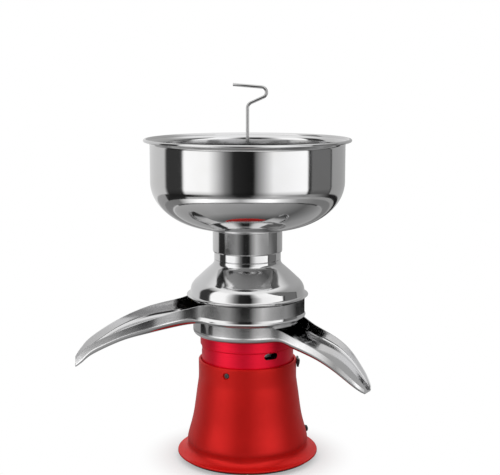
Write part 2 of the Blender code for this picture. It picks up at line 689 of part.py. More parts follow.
def build_drum(drum):
    wall = DRUM_RADIUS - DRUM_WALL
    joint = DRUM_JOINT_HEIGHT
    floor = DRUM_BOTTOM + DRUM_WALL
    base_outline = [
        (DRUM_RADIUS - 1.5, DRUM_BOTTOM), (DRUM_RADIUS, DRUM_BOTTOM + 1.5), (DRUM_RADIUS, joint),
        (wall, joint), (wall, floor), (11, floor), (9, joint + 6), (0, joint + 6), (0, CONE_TOP + 0.7),
        (4.9, CONE_TOP + 0.7), (6.9, DRUM_BOTTOM),
    ]
    turned("drum_base", base_outline, "drum_aluminium", DRUM_ROUND, drum)
    seal_inner, seal_outer = wall + 0.4, DRUM_RADIUS - 0.4
    seal = [(seal_inner, joint + GAP), (seal_outer, joint + GAP), (seal_outer, joint + 2.3),
            (seal_inner, joint + 2.3)]
    turned("drum_seal_ring", seal, "seal_rubber", DRUM_ROUND, drum)
    start = DISC_FIRST_HEIGHT - 2.0
    shoulder = INLET_RADIUS + 1.5
    carrier = [
        (DISC_OUTER + 1, cone_height(start, DISC_OUTER + 1)),
        (DISC_OUTER + 1, cone_height(start, DISC_OUTER + 1) + 1.6),
        (shoulder, cone_height(start, shoulder) + 1.6), (shoulder, INLET_SHOULDER),
        (INLET_RADIUS, INLET_SHOULDER), (INLET_RADIUS, INLET_TOP), (INLET_BORE, INLET_TOP), (INLET_BORE, 184),
        (INLET_BORE + 5, cone_height(start, INLET_BORE + 5)),
    ]
    turned("disc_carrier", carrier, "drum_aluminium", DRUM_ROUND, drum)
    for index in range(DISC_COUNT):
        outline = cone_band(DISC_FIRST_HEIGHT + index * DISC_PITCH, DISC_OUTER, DISC_INNER, DISC_THICKNESS)
        turned(f"disc_{index + 1:02d}", outline, "drum_aluminium", DRUM_ROUND, drum)
    top = DISC_FIRST_HEIGHT + DISC_COUNT * DISC_PITCH
    outside, inside = 14.8, 13.2
    top_disc = [
        (DISC_OUTER, cone_height(top, DISC_OUTER)), (DISC_OUTER, cone_height(top, DISC_OUTER) + 1.0),
        (outside, cone_height(top, outside) + 1.0), (outside, TOP_DISC_NECK_TOP), (inside, TOP_DISC_NECK_TOP),
        (inside, cone_height(top, inside)),
    ]
    disc = turned("top_disc", top_disc, "drum_aluminium", DRUM_ROUND, drum)
    for index, azimuth in enumerate((0, 180)):
        combine(disc, radial_cutter(f"cream_port_{index}", [(1.6, 11.9, 20)], azimuth, CREAM_PORT_HEIGHT))
    screw = add_object("cream_screw", lying(stepped([(1.3, 12.2, 15.6)])), "brass", drum)
    screw.location.z = CREAM_PORT_HEIGHT * MM
    cover_start = top + 2.0
    outside, inside = DRUM_NECK_RADIUS, DRUM_NECK_RADIUS - 2.5
    cover_foot = joint + 2.6
    cover = [
        (DRUM_RADIUS, cover_foot),
        (DRUM_RADIUS, cone_height(cover_start, DRUM_RADIUS) + DRUM_COVER_THICKNESS),
        (outside, cone_height(cover_start, outside) + DRUM_COVER_THICKNESS), (outside, DRUM_COVER_TOP),
        (inside, DRUM_COVER_TOP), (inside, cone_height(cover_start, inside)),
        (wall, cone_height(cover_start, wall)), (wall, cover_foot),
    ]
    cover_item = turned("drum_cover", cover, "drum_aluminium", DRUM_ROUND, drum)
    for index, azimuth in enumerate((90, 270)):
        combine(cover_item, radial_cutter(f"skim_port_{index}", [(1.8, 16, 24)], azimuth, SKIM_PORT_HEIGHT))
    nut = tube_of_outlines(polar_outline(lambda degrees: 14.0, 6), polar_outline(lambda degrees: 10.6, 6),
                           (TOP_DISC_NECK_TOP + GAP, NUT_TOP))
    bore = INLET_RADIUS + GAP
    nut_bore = turned("nut_bore", [(0, 215), (bore, 215), (bore, 230), (0, 230)], None, DRUM_ROUND)
    nut_item = add_object("drum_nut", nut, "brass", drum)
    combine(nut_item, nut_bore)


def trough_section(distance, half_width, rim, floor, top):
    """U-shaped section of a spout, closed across the top, at a distance from the axis."""
    corner = min(0.34 * half_width, 0.42 * (rim - floor))
    right = arc(half_width - corner, floor + corner, corner, -90, 0, 4)
    left = arc(corner - half_width, floor + corner, corner, 180, 270, 4)
    outline = [(-half_width, top)] + left + right + [(half_width, top)]
    return [(distance, across, height) for across, height in outline]


def trough(name, stations, azimuth, inset, open_top):
    """A spout's outer form (inset 0, flat at its rim) or the channel cut into it (open above)."""
    curve = smooth(stations, 2)
    if inset:
        first, last = curve[0], curve[-1]
        curve = [(first[0] - 4, *first[1:])] + curve + [(last[0] + 8, last[1], last[2] - 12, last[3] - 9)]
    sections = []
    for distance, half_width, rim, floor in curve:
        top = open_top if inset else rim
        sections.append(trough_section(distance, half_width - inset, max(rim, floor + inset + 3),
                                       floor + inset, top))
    item = add_object(name, bridged(sections))
    item.rotation_euler = (0, 0, math.radians(azimuth))
    return item


def build_receiver(name, outline, gutter, stations, azimuth, open_top, parent):
    """A ring with a gutter inside and a spout: both forms are joined, then hollowed."""
    item = turned(name, outline, "polished_steel", parent=parent)
    combine(item, trough(name + "_spout", stations, azimuth, 0, open_top), "UNION")
    combine(item, turned(name + "_gutter", gutter))
    combine(item, trough(name + "_channel", stations, azimuth, SHEET, open_top))


def build_skim_receiver(parent):
    foot = CASING_TOP + GAP
    skirt = CASING_RADIUS - CASING_WALL - 0.6
    outline = [
        (SKIM_RADIUS, SKIM_TOP), (SKIM_RADIUS, 184), (76.3, 180.4), (73.6, 178.2), (70.5, foot),
        (skirt, foot), (skirt, foot - 5), (skirt - SHEET, foot - 5), (skirt - SHEET, 177.9), (50, 181.6),
        (SKIM_HUB_HOLE, 190.5), (SKIM_HUB_HOLE, SKIM_TOP),
    ]
    inner = SKIM_RADIUS - SHEET
    gutter = [
        (inner, SKIM_TOP + 5), (inner, 184.4), (75.1, 181.2), (72.8, 179.5), (70.2, 178.6), (62.6, 178.7),
        (50.5, 183.0), (SKIM_HUB_HOLE + 1.5, 191.6), (SKIM_HUB_HOLE + 1.2, SKIM_HUB_TOP),
        (SKIM_HUB_HOLE - 4, SKIM_HUB_TOP), (SKIM_HUB_HOLE - 4, SKIM_TOP + 5),
    ]
    build_receiver("skim_receiver", outline, gutter, SKIM_SPOUT, SKIM_AZIMUTH, SKIM_TOP + 14, parent)


def build_cream_receiver(parent):
    foot = SKIM_TOP + GAP
    skirt = SKIM_RADIUS - SHEET - GAP
    outline = [
        (CREAM_RADIUS, CREAM_TOP), (CREAM_RADIUS, 207.6), (82.8, 206.4), (82.8, 204.8), (81.0, 203.4),
        (79.4, foot), (skirt, foot), (skirt, foot - 4), (skirt - SHEET, foot - 4), (skirt - SHEET, 202.2),
        (70, 203.5), (CREAM_HUB_HOLE, 211), (CREAM_HUB_HOLE, CREAM_TOP),
    ]
    inner = CREAM_RADIUS - SHEET
    gutter = [
        (inner, CREAM_TOP + 5), (inner, 205.0), (78.2, 202.8), (75.2, 203.2), (70, 204.9),
        (CREAM_HUB_HOLE + 1.6, 212.3), (CREAM_HUB_HOLE + 1.2, CREAM_HUB_TOP),
        (CREAM_HUB_HOLE - 4, CREAM_HUB_TOP), (CREAM_HUB_HOLE - 4, CREAM_TOP + 5),
    ]
    build_receiver("cream_receiver", outline, gutter, CREAM_SPOUT, CREAM_AZIMUTH, CREAM_TOP + 14, parent)


def build_float_chamber(parent):
    """Bell, neck, cup floor and feed nozzle as one pressed and welded piece."""
    inner_neck = NECK_RADIUS - SHEET
    skirt = CREAM_RADIUS - SHEET - 0.4
    outline = [
        (skirt, BRIM_BOTTOM - 3.5), (skirt, BRIM_BOTTOM), (BRIM_RADIUS - 0.5, BRIM_BOTTOM),
        (BRIM_RADIUS, 233.3), (83.0, 235.2), (BELL_RADIUS, 239), (80.0, 244.5), (76.4, 251.8), (71.7, 256),
        (63.1, 265), (53.8, 273), (NECK_RADIUS, NECK_BOTTOM), (NECK_RADIUS, NECK_TOP), (inner_neck, NECK_TOP),
        (inner_neck, CUP_FLOOR + 2), (inner_neck - 2, CUP_FLOOR), (NOZZLE_BORE, CUP_FLOOR),
        (NOZZLE_BORE, NOZZLE_BOTTOM), (NOZZLE_RADIUS, NOZZLE_BOTTOM), (NOZZLE_RADIUS, CUP_FLOOR - SHEET),
        (44.0, CUP_FLOOR - SHEET), (53.0, 272.0), (62.2, 264.1), (70.7, 255.2), (75.1, 251.0), (78.2, 244.2),
        (skirt - SHEET, 239), (skirt - SHEET, BRIM_BOTTOM - 3.5),
    ]
    turned("float_chamber", outline, "polished_steel", parent=parent)


def build_float(parent):
    bottom = CUP_FLOOR + GAP
    crown = bottom + 11.5
    skin = FLOAT_SKIN
    rim = FLOAT_RADIUS
    outline = [
        (3, bottom), (rim - 1.5, bottom), (rim, bottom + 1.5), (rim, crown - 4.5), (rim - 3, crown - 2.5),
        (8, crown - 1), (4, crown), (0, crown), (0, crown - skin), (4, crown - skin), (8, crown - 1 - skin),
        (rim - 3.3, crown - 2.5 - skin), (rim - skin, crown - 4.9), (rim - skin, bottom + 1.9),
        (rim - 1.9, bottom + skin), (3, bottom + skin),
    ]
    turned("float", outline, "polished_steel", DRUM_ROUND, parent)


def build_bowl(parent):
    bead_r, bead_z = RIM_RADIUS - RIM_BEAD, RIM_HEIGHT - RIM_BEAD
    half_width = BOWL_RADIUS - BOWL_FLAT_RADIUS
    depth = BOWL_BEND_HEIGHT - BOWL_BOTTOM
    steps = 6

    def bottom_curve(inset):
        points = []
        for step in range(steps + 1):
            angle = math.radians(90 * step / steps)
            points.append((BOWL_FLAT_RADIUS + (half_width - inset) * math.cos(angle),
                           BOWL_BEND_HEIGHT - (depth - inset) * math.sin(angle)))
        return points

    drain = SEAT_RADIUS + GAP
    dish, lowest = BOWL_BOTTOM - 1.6, BOWL_BOTTOM - 2.2
    outer = bottom_curve(0) + [(DRAIN_DISH_RADIUS, dish), (drain, lowest)]
    inner = [(drain, lowest + BOWL_SHEET), (DRAIN_DISH_RADIUS, dish + BOWL_SHEET)]
    inner += list(reversed(bottom_curve(BOWL_SHEET)))
    rim_inside = [(BOWL_RADIUS - BOWL_SHEET, RIM_HEIGHT - 9), (136.2, RIM_HEIGHT - 4.8),
                  (139.8, RIM_HEIGHT - 2.6), (bead_r - 1.2, RIM_HEIGHT - 0.2)]
    bead = arc(bead_r, bead_z, RIM_BEAD, 60, -100, 3)
    rim_outside = [(141.0, RIM_HEIGHT - 4.5), (137.6, RIM_HEIGHT - 6.1), (BOWL_RADIUS, RIM_HEIGHT - 9.5)]
    turned("milk_bowl", outer + inner + rim_inside + bead + rim_outside, "polished_steel", parent=parent)
    top = BOWL_BOTTOM
    collar = [
        (COLLAR_RADIUS, top - 1.8), (COLLAR_RADIUS + 0.5, top - 1.2), (COLLAR_RADIUS, top),
        (NECK_RADIUS + 0.8, top), (NECK_RADIUS + 0.8, COLLAR_BOTTOM), (COLLAR_RADIUS - 0.8, COLLAR_BOTTOM),
        (COLLAR_RADIUS, COLLAR_BOTTOM + 1.6),
    ]
    turned("bowl_collar", collar, "polished_steel", parent=parent)
    seat = [
        (SEAT_BORE, SEAT_BOTTOM), (SEAT_RADIUS - 1, SEAT_BOTTOM), (SEAT_RADIUS, SEAT_BOTTOM + 1.2),
        (SEAT_RADIUS, top - 0.4), (16, top - 0.4), (16, top + 0.8), (14, top + 1.8), (SEAT_RADIUS, top + 1.8),
        (SEAT_RADIUS, top + 11), (SEAT_BORE, top + 11),
    ]
    seat_item = turned("tap_seat", seat, "polished_steel", DRUM_ROUND, parent)
    half = PORT_SIZE / 2
    low, high = PORT_HEIGHT - half, PORT_HEIGHT + half
    window = add_object("seat_port", box_mesh((-half, -15, low), (half, 15, high)))
    combine(seat_item, window)


def build_tap(tap):
    inner = PLUG_RADIUS - 2.0
    seat_top = BOWL_BOTTOM + 11
    crown = seat_top + 5.2
    socket = ROD_BOTTOM - GAP
    plug = [
        (inner, PLUG_BOTTOM), (PLUG_RADIUS, PLUG_BOTTOM), (PLUG_RADIUS, seat_top + 0.4),
        (9.5, seat_top + 0.4), (9.5, seat_top + 3), (5, crown), (ROD_RADIUS + GAP, crown),
        (ROD_RADIUS + GAP, socket), (0, socket), (0, socket - 2), (inner, socket - 2),
    ]
    plug_item = turned("tap_plug", plug, "polished_steel", DRUM_ROUND, tap)
    half = PORT_SIZE / 2
    low, high = PORT_HEIGHT - half, PORT_HEIGHT + half
    window = add_object("plug_port", box_mesh((-15, -half, low), (15, half, high)))
    combine(plug_item, window)
    build_rod(tap)


def corner_round(corner, before, after, radius, steps):
    """Points of an arc that rounds a corner between two neighbouring points of a flat path."""
    corner, before, after = Vector(corner), Vector(before), Vector(after)
    to_before = (before - corner).normalized()
    to_after = (after - corner).normalized()
    half = to_before.angle(to_after) / 2
    centre = corner + (to_before + to_after).normalized() * (radius / math.sin(half))
    start = corner + to_before * (radius / math.tan(half)) - centre
    end = corner + to_after * (radius / math.tan(half)) - centre
    return [centre + start.slerp(end, step / steps) * start.length for step in range(steps + 1)]


def build_rod(tap):
    """Bent wire: up the axis, out to the right, back over to the left."""
    foot = (0, ROD_BOTTOM)
    lower_bend = (0, 500.8)
    outer_bend = (47.2, 522.1)
    tip = (-20.2, 527.9)
    path = [Vector(foot), Vector((0, 420))]
    path += corner_round(lower_bend, foot, outer_bend, 8.0, 4)
    path += corner_round(outer_bend, lower_bend, tip, 7.2, 8)
    path.append(Vector(tip))
    curve = bpy.data.curves.new("tap_rod", "CURVE")
    curve.dimensions = "3D"
    curve.bevel_depth = ROD_RADIUS * MM
    curve.bevel_resolution = 2
    curve.use_fill_caps = True
    spline = curve.splines.new("POLY")
    spline.points.add(len(path) - 1)
    for point, place in zip(spline.points, path):
        point.co = (place.x * MM, 0, place.y * MM, 1)
    curve.materials.append(make_material("tap_rod", "zinc_steel"))
    rod = bpy.data.objects.new("tap_rod", curve)
    bpy.context.collection.objects.link(rod)
    rod.parent = tap


def build():
    clear_scene()
    base = add_empty("base_frame")
    drum = add_empty("spin_axis")
    skim = add_empty("skim_lift")
    cream = add_empty("cream_lift")
    chamber = add_empty("chamber_lift")
    bowl = add_empty("bowl_lift")
    tap = add_empty("tap_axis")
    float_guide = add_empty("float_guide")
    switch_hole = build_housing(base)
    build_bottom_cover(base)
    build_casing(base, switch_hole)
    build_switch(base)
    build_gland(base)
    build_motor_frame(base)
    build_stator(base)
    build_brushes(base)
    build_rotor(drum)
    build_drum(drum)
    build_skim_receiver(skim)
    build_cream_receiver(cream)
    build_float_chamber(chamber)
    build_float(float_guide)
    build_bowl(bowl)
    build_tap(tap)


build()
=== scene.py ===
"""Looks of the electric cream separator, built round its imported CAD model.

Lengths are millimetres in the CAD frame unless a name says otherwise: +Z up along the spin axis, -Y to the
front, +X to the right. Meshes are made in metres.
"""
import math

import bmesh
import bpy
from mathutils import Matrix, Vector


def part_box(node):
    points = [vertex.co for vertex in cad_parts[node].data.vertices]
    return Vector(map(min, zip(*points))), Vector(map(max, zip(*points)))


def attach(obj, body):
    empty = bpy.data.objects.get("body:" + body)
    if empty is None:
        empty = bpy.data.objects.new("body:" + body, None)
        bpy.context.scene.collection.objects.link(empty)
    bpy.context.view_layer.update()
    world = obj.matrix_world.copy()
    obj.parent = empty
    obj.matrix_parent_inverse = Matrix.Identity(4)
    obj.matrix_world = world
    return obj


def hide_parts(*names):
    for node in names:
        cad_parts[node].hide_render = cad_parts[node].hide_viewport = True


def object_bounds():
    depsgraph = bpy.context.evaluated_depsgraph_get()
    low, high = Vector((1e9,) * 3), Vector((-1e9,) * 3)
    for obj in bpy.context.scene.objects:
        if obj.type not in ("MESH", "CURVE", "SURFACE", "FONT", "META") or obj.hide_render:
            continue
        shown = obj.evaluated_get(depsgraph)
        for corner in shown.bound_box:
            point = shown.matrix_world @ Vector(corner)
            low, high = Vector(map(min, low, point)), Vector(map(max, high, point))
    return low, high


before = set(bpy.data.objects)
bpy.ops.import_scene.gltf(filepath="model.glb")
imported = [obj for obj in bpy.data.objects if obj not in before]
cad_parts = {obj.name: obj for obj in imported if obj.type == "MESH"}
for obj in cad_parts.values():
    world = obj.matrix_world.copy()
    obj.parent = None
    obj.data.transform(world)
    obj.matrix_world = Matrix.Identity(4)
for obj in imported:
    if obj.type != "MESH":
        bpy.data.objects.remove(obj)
cad_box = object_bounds()

MM = 0.001
FULL_TURN = 2 * math.pi
FLOOR_HEIGHT = cad_box[0].z / MM

# Facets round a turned piece, by its size
LARGE_ROUND = 192
MEDIUM_ROUND = 96
SMALL_ROUND = 48

# Places shared by the holes and the parts that sit in them: turns in degrees from +X, heights, circles' radii
CASING_SCREW_TURNS, CASING_SCREW_HEIGHT = (245, 65), 130.0
SWITCH_HEIGHT = 134.0
GLAND_TURN, GLAND_HEIGHT = 29, 17.8
COVER_SCREW_TURNS, COVER_SCREW_CIRCLE = (30, 150, 270), 92.0
VENT_TURNS, VENT_CIRCLE = (90, 210, 330), 34
FOOT_TURNS, FOOT_CIRCLE = (45, 135, 225, 315), 79
WINDOW_TURNS, WINDOW_HEIGHT = (60, 180, 300), 156.5
TAP_PORT_HEIGHT = 334.0


# ---- camera

CAMERA_DISTANCE, CAMERA_HEIGHT = 1.493, 0.5469
CAMERA_DOWN_TILT = 8.86


def make_camera():
    """The photographer's place: a long lens a metre and a half in front, a little above the bowl's rim."""
    data = bpy.data.cameras.new("photo_camera")
    data.sensor_width = 36
    data.lens = 77.1
    data.shift_x = 0.005
    data.clip_start = 0.05
    camera = bpy.data.objects.new("photo_camera", data)
    bpy.context.scene.collection.objects.link(camera)
    camera.location = (0, -CAMERA_DISTANCE, CAMERA_HEIGHT)
    camera.rotation_euler = (math.radians(90 - CAMERA_DOWN_TILT), 0, 0)
    bpy.context.scene.camera = camera


# ---- node helpers

class Nodes:
    """A short way to add and join shader nodes."""

    def __init__(self, tree):
        self.tree = tree

    def add(self, kind, **settings):
        node = self.tree.nodes.new(kind)
        for name, value in settings.items():
            setattr(node, name, value)
        return node

    def join(self, source, target):
        self.tree.links.new(source, target)

    def feed(self, socket, value):
        """Set a socket to a number or a vector, or link it to another socket."""
        if isinstance(value, bpy.types.NodeSocket):
            self.join(value, socket)
        else:
            socket.default_value = value

    def math(self, operation, first, second=0.0):
        node = self.add("ShaderNodeMath", operation=operation)
        self.feed(node.inputs[0], first)
        self.feed(node.inputs[1], second)
        return node.outputs[0]

    def spread(self, value, low, high, to_low=0.0, to_high=1.0, smooth=False):
        """Map a range onto another and clamp it."""
        node = self.add("ShaderNodeMapRange", interpolation_type="SMOOTHSTEP" if smooth else "LINEAR")
        for socket, number in zip(list(node.inputs)[:5], (value, low, high, to_low, to_high)):
            self.feed(socket, number)
        return node.outputs[0]

    def noise(self, vector, scale, detail=3.0, roughness=0.5):
        node = self.add("ShaderNodeTexNoise")
        for socket, value in (("Vector", vector), ("Scale", scale), ("Detail", detail), ("Roughness", roughness)):
            self.feed(node.inputs[socket], value)
        return node.outputs["Fac"]

    def ramp(self, value, stops):
        """A colour ramp of (position, colour or grey) stops."""
        node = self.add("ShaderNodeValToRGB")
        elements = node.color_ramp.elements
        while len(elements) < len(stops):
            elements.new(0.5)
        for element, (position, colour) in zip(elements, stops):
            element.position = position
            element.color = (*colour, 1) if hasattr(colour, "__len__") else (colour, colour, colour, 1)
        self.feed(node.inputs["Fac"], value)
        return node.outputs["Color"]

    def combine(self, x, y, z):
        node = self.add("ShaderNodeCombineXYZ")
        for socket, value in zip(node.inputs, (x, y, z)):
            self.feed(socket, value)
        return node.outputs[0]

    def split(self, vector):
        node = self.add("ShaderNodeSeparateXYZ")
        self.join(vector, node.inputs[0])
        return node.outputs

    def from_axis(self, x, y):
        """Distance from the spin axis."""
        return self.math("SQRT", self.math("ADD", self.math("MULTIPLY", x, x), self.math("MULTIPLY", y, y)))

    def bearing(self, x, y):
        """Share of a full turn about the axis: a half is the front, and it grows to the right."""
        return self.spread(self.turn_from_front(x, y), -math.pi, math.pi)

    def turn_from_front(self, x, y):
        return self.math("ARCTAN2", x, self.math("MULTIPLY", y, -1.0))

    def stripes(self, value, rate):
        """Even stripes along a value, from 0 to 1 and back in pi over the rate."""
        return self.math("ABSOLUTE", self.math("SINE", self.math("MULTIPLY", value, rate)))

    def mix(self, share, first, second):
        return self.math("ADD", self.math("MULTIPLY", first, self.math("SUBTRACT", 1.0, share)),
                         self.math("MULTIPLY", second, share))

    def mix_shader(self, share, first, second):
        node = self.add("ShaderNodeMixShader")
        for socket, value in zip(node.inputs, (share, first, second)):
            self.join(value, socket)
        return node.outputs[0]


# ---- studio

# Brightness round the horizon as the object sees it, by the angle from the front, positive to the right
STUDIO_BANDS = (
    (-180, 0.8), (-113, 0.74), (-108, 0.05), (-82, 0.05), (-78, 1.45), (-46, 1.4), (-36, 0.85), (-26, 0.28),
    (-16, 0.03), (7, 0.01), (10, 0.22), (18, 0.6), (30, 1.25), (73, 1.45), (75, 0.03), (78, 0.03), (80, 0.2),
    (112, 0.2), (114, 0.03), (116, 0.42), (180, 0.5),
)
BAND_PEAK = 1.45
SOFTBOX_EDGE, SOFTBOX_OUTSIDE = 112, 114
OVERHEAD_LEVEL = 1.15

# Reflections see a glowing table in place of the floor, with a painted shadow of the object on it: dark near the
# object, it grows brighter outward; distances in metres
TABLE_PAINTED_SHADOW = ((0, 0.05), (0.12, 0.16), (0.23, 0.42), (0.53, 0.56))
TABLE_GAP = (0.52, 0.54, 0.55, 0.57)  # fades out and back in
TABLE_END = (1.2, 1.3)
# The table's brightness round the object, by shares of the same turn: near it, then in the rings farther out
# that the red casing, the skim ring and the cream ring mirror
TABLE_BANDS = (
    (0, 0.9), (0.2, 0.9), (0.35, 1.0), (0.46, 0.8), (0.52, 0.75), (0.62, 0.7), (0.72, 0.3), (0.85, 0.8),
)
CASING_BANDS = (
    (0, 0.3), (0.25, 0.25), (0.3, 1.2), (0.36, 1.9), (0.42, 1.2), (0.478, 0.5), (0.567, 1.9), (0.61, 1.1),
    (0.67, 0.4), (0.75, 0.25),
)
SKIM_BANDS = (
    (0, 0.4), (0.186, 0.4), (0.19, 0.02), (0.285, 0.03), (0.3, 0.55), (0.36, 0.62), (0.43, 0.3),
    (0.475, 0.14), (0.51, 0.16), (0.54, 0.5), (0.6, 0.58), (0.7, 0.5), (0.72, 0.4), (0.81, 0.4),
    (0.82, 0.42),
)
CREAM_BANDS = (
    (0, 0.42), (0.186, 0.42), (0.19, 0.05), (0.22, 0.02), (0.31, 0.02), (0.36, 0.2), (0.4, 0.34),
    (0.44, 0.12), (0.47, 0.02), (0.51, 0.02), (0.545, 0.4), (0.58, 0.75), (0.63, 0.45), (0.69, 0.3),
    (0.72, 0.36), (0.81, 0.02),
)
TABLE_RINGS = ((0.56, CASING_BANDS), (0.775, SKIM_BANDS), (0.935, CREAM_BANDS))
# Where the camera sees the floor, it fades from paper round the foot to plain white; distances in metres
PAPER_END, WHITE_START = 0.085, 0.16
FLOOR_RADIUS = 9.0


def make_world():
    """Softboxes in front that narrow with height and fade below the horizon, with dark gaps between them.

    Overhead is pale, and the camera itself sees plain white.
    """
    world = bpy.data.worlds.new("studio")
    bpy.context.scene.world = world
    world.use_nodes = True
    world.node_tree.nodes.clear()
    n = Nodes(world.node_tree)
    x, y, z = n.split(n.add("ShaderNodeTexCoord").outputs["Generated"])
    turn = n.turn_from_front(x, y)
    narrowing = n.spread(z, 0.1, 0.6, 1.0, 1.5)
    place = n.spread(n.math("MAXIMUM", turn, n.math("MULTIPLY", turn, narrowing)), -math.pi, math.pi)
    stops = [((degrees + 180) / 360, level / BAND_PEAK) for degrees, level in STUDIO_BANDS]
    bands = n.math("MULTIPLY", n.ramp(place, stops), BAND_PEAK)
    edge, outside = math.radians(SOFTBOX_EDGE), math.radians(SOFTBOX_OUTSIDE)
    softbox = n.spread(n.math("ABSOLUTE", turn), edge, outside, 1.0, 0.0)
    below_horizon = n.spread(z, -0.5, -0.16, 0.91, 0.0)
    bands = n.math("MULTIPLY", bands, n.math("SUBTRACT", 1.0, n.math("MULTIPLY", softbox, below_horizon)))
    level = n.mix(n.spread(z, 0.55, 0.85, smooth=True), bands, OVERHEAD_LEVEL)
    lit = n.mix(n.add("ShaderNodeLightPath").outputs["Is Camera Ray"], level, 1.0)
    background = n.add("ShaderNodeBackground")
    n.join(lit, background.inputs["Color"])
    output = n.add("ShaderNodeOutputWorld")
    n.join(background.outputs[0], output.inputs["Surface"])


def make_floor():
    """Paper round the foot and plain white beyond it; reflections see the banded table instead, with a painted
    shadow round the object.
    """
    material = bpy.data.materials.new("pale_floor")
    material.use_nodes = True
    material.node_tree.nodes.clear()
    n = Nodes(material.node_tree)
    place = n.add("ShaderNodeTexCoord").outputs["Object"]
    length = n.add("ShaderNodeVectorMath", operation="LENGTH")
    n.join(place, length.inputs[0])
    away = length.outputs["Value"]
    grain = n.spread(n.noise(place, 900.0, 2.0), *NOISE_SPAN, 0.93, 0.96)
    paper = n.add("ShaderNodeBsdfDiffuse")
    n.join(n.combine(grain, grain, grain), paper.inputs["Color"])
    white = n.add("ShaderNodeEmission")
    white.inputs["Color"].default_value = (1, 1, 1, 1)
    whiteness = n.spread(away, PAPER_END, WHITE_START, 0.35, 1.0, smooth=True)
    seen = n.mix_shader(whiteness, paper.outputs[0], white.outputs[0])
    x, y, _ = n.split(place)
    share = n.bearing(x, y)
    # The table's level in reflections: its bands times the painted shadow that darkens it near the object
    level = n.math("MULTIPLY", n.ramp(share, TABLE_BANDS), n.ramp(away, TABLE_PAINTED_SHADOW))
    for ring_start, bands in TABLE_RINGS:
        level = n.mix(n.math("GREATER_THAN", away, ring_start), level, n.ramp(share, bands))
    table = n.add("ShaderNodeEmission")
    n.join(level, table.inputs["Color"])
    gap = n.math("SUBTRACT", n.spread(away, *TABLE_GAP[:2]), n.spread(away, *TABLE_GAP[2:]))
    clear = n.math("ADD", gap, n.spread(away, *TABLE_END))
    mirrored = n.mix_shader(clear, table.outputs[0], n.add("ShaderNodeBsdfTransparent").outputs[0])
    camera_ray = n.add("ShaderNodeLightPath").outputs["Is Camera Ray"]
    output = n.add("ShaderNodeOutputMaterial")
    n.join(n.mix_shader(camera_ray, mirrored, seen), output.inputs["Surface"])
    mesh = bmesh.new()
    bmesh.ops.create_circle(mesh, cap_ends=True, radius=FLOOR_RADIUS, segments=MEDIUM_ROUND)
    floor = link_mesh("studio_floor", mesh, [material])
    floor.location.z = FLOOR_HEIGHT * MM


# ---- meshes

def link_mesh(name, mesh, materials, sharp=32):
    """Turn a bmesh into a linked, smooth-shaded object with the given materials."""
    data = bpy.data.meshes.new(name)
    mesh.to_mesh(data)
    mesh.free()
    data.shade_smooth()
    data.set_sharp_from_angle(angle=math.radians(sharp))
    for material in materials:
        data.materials.append(material)
    item = bpy.data.objects.new(name, data)
    bpy.context.scene.collection.objects.link(item)
    return item


def piece(name, mesh, material, body, nodes, sharp=32):
    """A finished piece that rides on a body and stands for CAD nodes."""
    bmesh.ops.recalc_face_normals(mesh, faces=mesh.faces)
    item = link_mesh(name, mesh, [material], sharp)
    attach(item, body)
    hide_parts(*nodes)
    return item


def arc(centre_r, centre_z, radius, start, end, steps):
    """Points on a circular arc in the (radius, height) plane, angles in degrees."""
    points = []
    for step in range(steps + 1):
        angle = math.radians(start + (end - start) * step / steps)
        points.append((centre_r + radius * math.cos(angle), centre_z + radius * math.sin(angle)))
    return points


def smooth(points, steps):
    """Catmull-Rom curve through the points, steps to each span; the points may have any length."""
    ends = [points[0]] + list(points) + [points[-1]]
    curve = []
    for i in range(len(points) - 1):
        before, start, end, after = ends[i:i + 4]
        for step in range(steps):
            t = step / steps
            curve.append(tuple(
                0.5 * (2 * b + (c - a) * t + (2 * a - 5 * b + 4 * c - d) * t * t
                       + (3 * b - a - 3 * c + d) * t ** 3)
                for a, b, c, d in zip(before, start, end, after)))
    curve.append(tuple(points[-1]))
    return curve


def rounded(outline, radius, least_turn=14):
    """A closed outline with its corners rounded; a point on the axis stays as it is."""
    result = []
    for i, point in enumerate(outline):
        corner = Vector(point[:2])
        before = Vector(outline[i - 1][:2]) - corner
        after = Vector(outline[(i + 1) % len(outline)][:2]) - corner
        if corner.x < 1e-6 or before.length < 1e-6 or after.length < 1e-6:
            result.append(tuple(corner))
            continue
        opening = before.angle(after)
        turn = math.pi - opening
        if turn < math.radians(least_turn):
            result.append(tuple(corner))
            continue
        reach = min(radius / math.tan(opening / 2), 0.45 * before.length, 0.45 * after.length)
        start = corner + before.normalized() * reach
        end = corner + after.normalized() * reach
        steps = max(2, round(math.degrees(turn) / 15))
        for step in range(steps + 1):
            t = step / steps
            result.append(tuple(start.lerp(corner, t).lerp(corner.lerp(end, t), t)))
    return result


def turned(outline, sides=LARGE_ROUND):
    """Spin a closed (radius, height) outline about Z."""
    mesh = bmesh.new()
    verts = [mesh.verts.new((radius * MM, 0, height * MM)) for radius, height in outline]
    edges = []
    for i in range(len(verts)):
        on_axis = outline[i - 1][0] < 1e-6 and outline[i][0] < 1e-6
        if not on_axis:
            edges.append(mesh.edges.new((verts[i - 1], verts[i])))
    bmesh.ops.spin(mesh, geom=verts + edges, cent=(0, 0, 0), axis=(0, 0, 1),
                   angle=FULL_TURN, steps=sides, use_merge=True)
    bmesh.ops.remove_doubles(mesh, verts=mesh.verts, dist=1e-6)
    return mesh


def cylinder(radius, low, high, sides=SMALL_ROUND):
    return turned([(0, low), (radius, low), (radius, high), (0, high)], sides)


def loft(rings):
    """A closed skin over rings of points with the same count, capped at both ends."""
    mesh = bmesh.new()
    loops = [[mesh.verts.new(Vector(point) * MM) for point in ring] for ring in rings]
    for first, second in zip(loops, loops[1:]):
        for k in range(len(first)):
            mesh.faces.new((first[k - 1], first[k], second[k], second[k - 1]))
    mesh.faces.new(loops[0])
    mesh.faces.new(list(reversed(loops[-1])))
    return mesh


